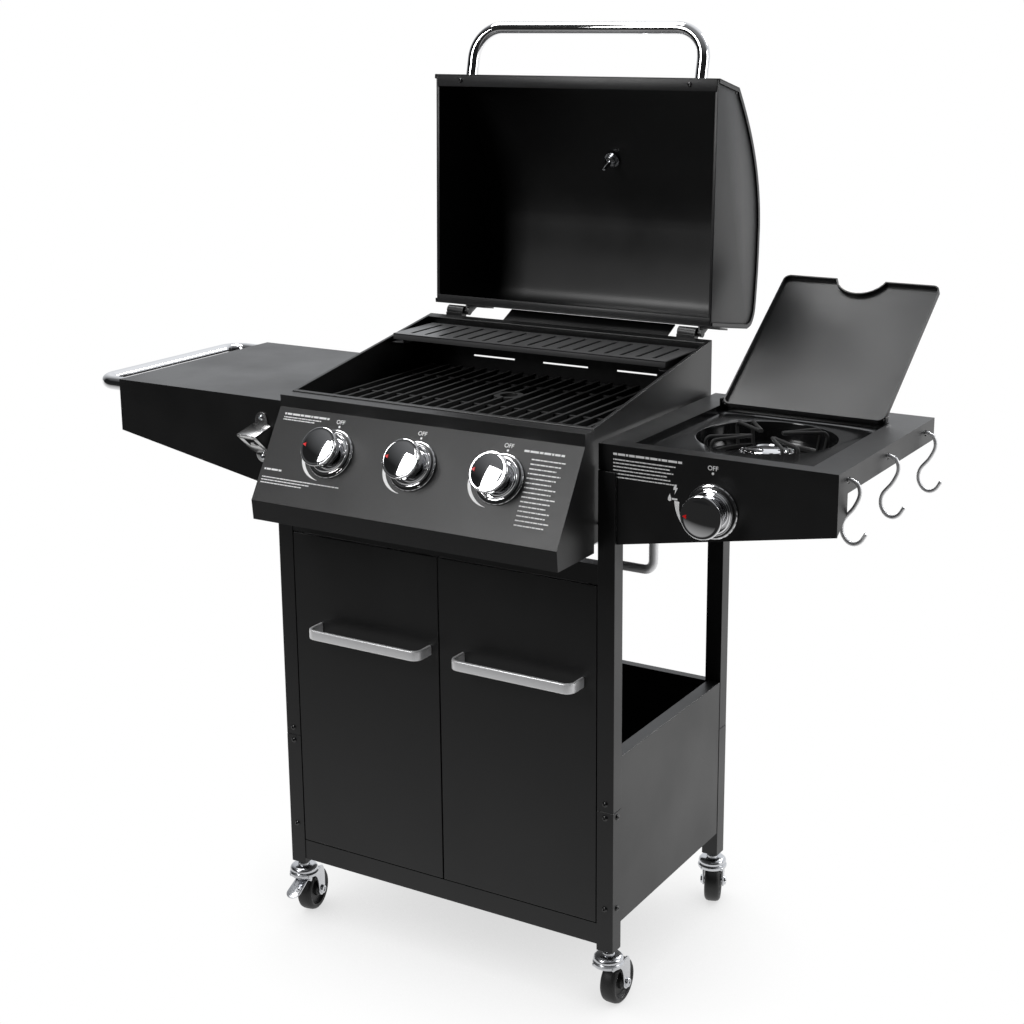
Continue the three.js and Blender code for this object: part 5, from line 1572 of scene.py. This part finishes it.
    def support(self) -> None:
        """Wire ring with four bent arms that point at the middle."""
        low, high = self.cart.bounds("pan_support")
        r = (high.x - low.x) / 2
        cx, cy = self.centre
        z = low.z
        loop = [(r - 5, z + 0.5), (r - 4.5, z), (r - 0.5, z), (r, z + 0.5), (r, z + 4.5)]
        loop += [(r - 0.5, z + 5), (r - 4.5, z + 5), (r - 5, z + 4.5), (r - 5, z + 0.5)]
        parts = [lathe(loop, 64)]
        top = high.z + 2.5
        for i in range(4):
            a = math.radians(45 + 90 * i)
            c, s = math.cos(a), math.sin(a)
            for spread in (-5.0, 5.0):
                foot, tip = spread * 2.2, 0.24 * spread
                bends = ((r - 2.5, z + 2, foot), (r + 3.6, top, foot), (22, top, tip))
                points = [(d * c - off * s, d * s + off * c, level) for d, level, off in bends]
                parts.append(sweep(rounded_route(points, 7, 6), circle(self.wire, 14), 0.4))
        bm = shifted(united(parts), cx, cy, 0)
        self.cart.add("pan_support_wires", bm, PAINT.cast, "pan_support", ["pan_support"])


@dataclass
class Studio:
    """Pale floor, soft lights and the camera."""

    cart: Cart
    azimuth: float = 30.743
    elevation: float = 14.015
    roll: float = -0.291
    eye: Triple = (1298.0, -1906.2, 1336.0)
    lens: float = 62.02
    shift: Pair = (-0.0273, -0.0586)
    floor_front: float = 0.02
    floor_back: float = 1.0
    room_front: float = 0.015
    room_back: float = 0.85
    room_top: float = 0.25

    def build(self) -> None:
        """Sets up everything that isn't the grill."""
        self.camera()
        self.floor()
        self.world()
        self.lights()
        view = bpy.context.scene.view_settings
        view.view_transform = "Standard"
        view.look = "None"

    def camera(self) -> None:
        """Places the camera."""
        data = bpy.data.cameras.new("camera")
        data.sensor_width = 36
        data.lens = self.lens
        data.shift_x, data.shift_y = self.shift
        data.clip_end = 200
        camera = bpy.data.objects.new("camera", data)
        bpy.context.scene.collection.objects.link(camera)
        az, el, roll = (math.radians(a) for a in (self.azimuth, self.elevation, self.roll))
        back = Vector((math.sin(az) * math.cos(el), -math.cos(az) * math.cos(el), math.sin(el)))
        right = Vector((math.cos(az), math.sin(az), 0))
        up = back.cross(right)
        c, s = math.cos(roll), math.sin(roll)
        right, up = right * c + up * s, up * c - right * s
        where = self.cart.origin + Vector(self.eye) * MM
        camera.matrix_world = axes(right, up, back, where)
        bpy.context.scene.camera = camera

    def floor(self) -> None:
        """A wide pale floor that glows. Where the camera sees it, it has a painted soft shadow close under
        the grill; in the light it gives the grill, it is duller towards the camera's side.
        """
        bm = bmesh.new()
        bmesh.ops.create_grid(bm, x_segments=1, y_segments=1, size=60)
        mesh = bpy.data.meshes.new("floor")
        bm.to_mesh(mesh)
        bm.free()
        material = bpy.data.materials.new("floor")
        material.use_nodes = True
        material.node_tree.nodes.clear()
        board = Board(material.node_tree)
        # Ambient occlusion dims the floor's glow near the grill: a painted contact shadow.
        shade = board.add("AmbientOcclusion", {"Distance": 0.3}, samples=8)
        near = board.ramp(shade.outputs["AO"], 0.0, 0.85, (0.6, 1.0))
        pale = board.add("Emission", {"Color": (1, 1, 1, 1), "Strength": near})
        where = board.add("SeparateXYZ", {0: board.add("TexCoord").outputs["Object"]})
        back = board.ramp(where.outputs["Y"], -1.9, 0.5, (self.floor_front, self.floor_back))
        bounce = board.add("Emission", {"Color": (1, 1, 1, 1), "Strength": back})
        seen = board.add("LightPath").outputs["Is Camera Ray"]
        mix = board.add("MixShader", {0: seen, 1: bounce.outputs[0], 2: pale.outputs[0]})
        board.add("OutputMaterial", {"Surface": mix.outputs[0]})
        mesh.materials.append(material)
        floor = bpy.data.objects.new("floor", mesh)
        bpy.context.scene.collection.objects.link(floor)

    def world(self) -> None:
        """A white surround for the camera; for the grill a pale wall behind it and a dark room in front."""
        world = bpy.data.worlds.new("studio")
        bpy.context.scene.world = world
        world.use_nodes = True
        world.node_tree.nodes.clear()
        board = Board(world.node_tree)
        way = board.add("SeparateXYZ", {0: board.add("TexCoord").outputs["Generated"]})
        back = board.ramp(way.outputs["Y"], -0.1, 0.75, (self.room_front, self.room_back))
        level = board.math("ADD", back, board.ramp(way.outputs["Z"], 0.45, 1.0, (0, self.room_top)))
        seen = board.add("LightPath").outputs["Is Camera Ray"]
        soft = board.add("Background", {"Color": (0.95, 0.97, 1, 1), "Strength": level})
        white = board.add("Background", {"Color": (1, 1, 1, 1), "Strength": 1.0})
        mix = board.add("MixShader", {0: seen, 1: soft.outputs[0], 2: white.outputs[0]})
        board.add("OutputWorld", {"Surface": mix.outputs[0]})

    def lights(self) -> None:
        """Soft boxes: name, place, what it points at, width, height and power of each."""
        rigs = (
            ("top_left", (-0.85, 0.1, 2.86), (0, 0, 0.6), 1.5, 1.2, 42),
            ("front_left", (-0.9, -2.2, 2.1), (0, 0, 0.8), 0.8, 1.2, 32),
            ("edge", (0.72, 2.5, 2.3), (0, 0, 0.8), 0.8, 0.5, 34),
            ("right", (3.0, 0.9, 1.9), (0, 0, 0.9), 1.0, 1.6, 22),
        )
        for name, where, aim, wide, tall, power in rigs:
            data = bpy.data.lights.new(name, "AREA")
            data.shape = "RECTANGLE"
            data.size, data.size_y = wide, tall
            data.energy = power
            light = bpy.data.objects.new(name, data)
            bpy.context.scene.collection.objects.link(light)
            back = (Vector(where) - Vector(aim)).normalized()
            right = Vector((0, 0, 1)).cross(back).normalized()
            light.matrix_world = axes(right, back.cross(right), back, where)


def main() -> None:
    """Builds the grill's pieces and the studio round them."""
    logging.basicConfig(level=logging.INFO, format="%(name)s: %(message)s")
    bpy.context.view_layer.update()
    cart = Cart.from_frame()
    corners = ("front_left", "front_right", "rear_left", "rear_right")
    casters = [Caster(cart, corner, corner == "front_left") for corner in corners]
    tops = [Controls(cart), Cooking(cart), Hood(cart), SideShelves(cart), SideBurner(cart)]
    for assembly in (Cabinet(cart), *casters, *tops):
        assembly.build()
    Studio(cart).build()


if __name__ == "__main__":
    main()
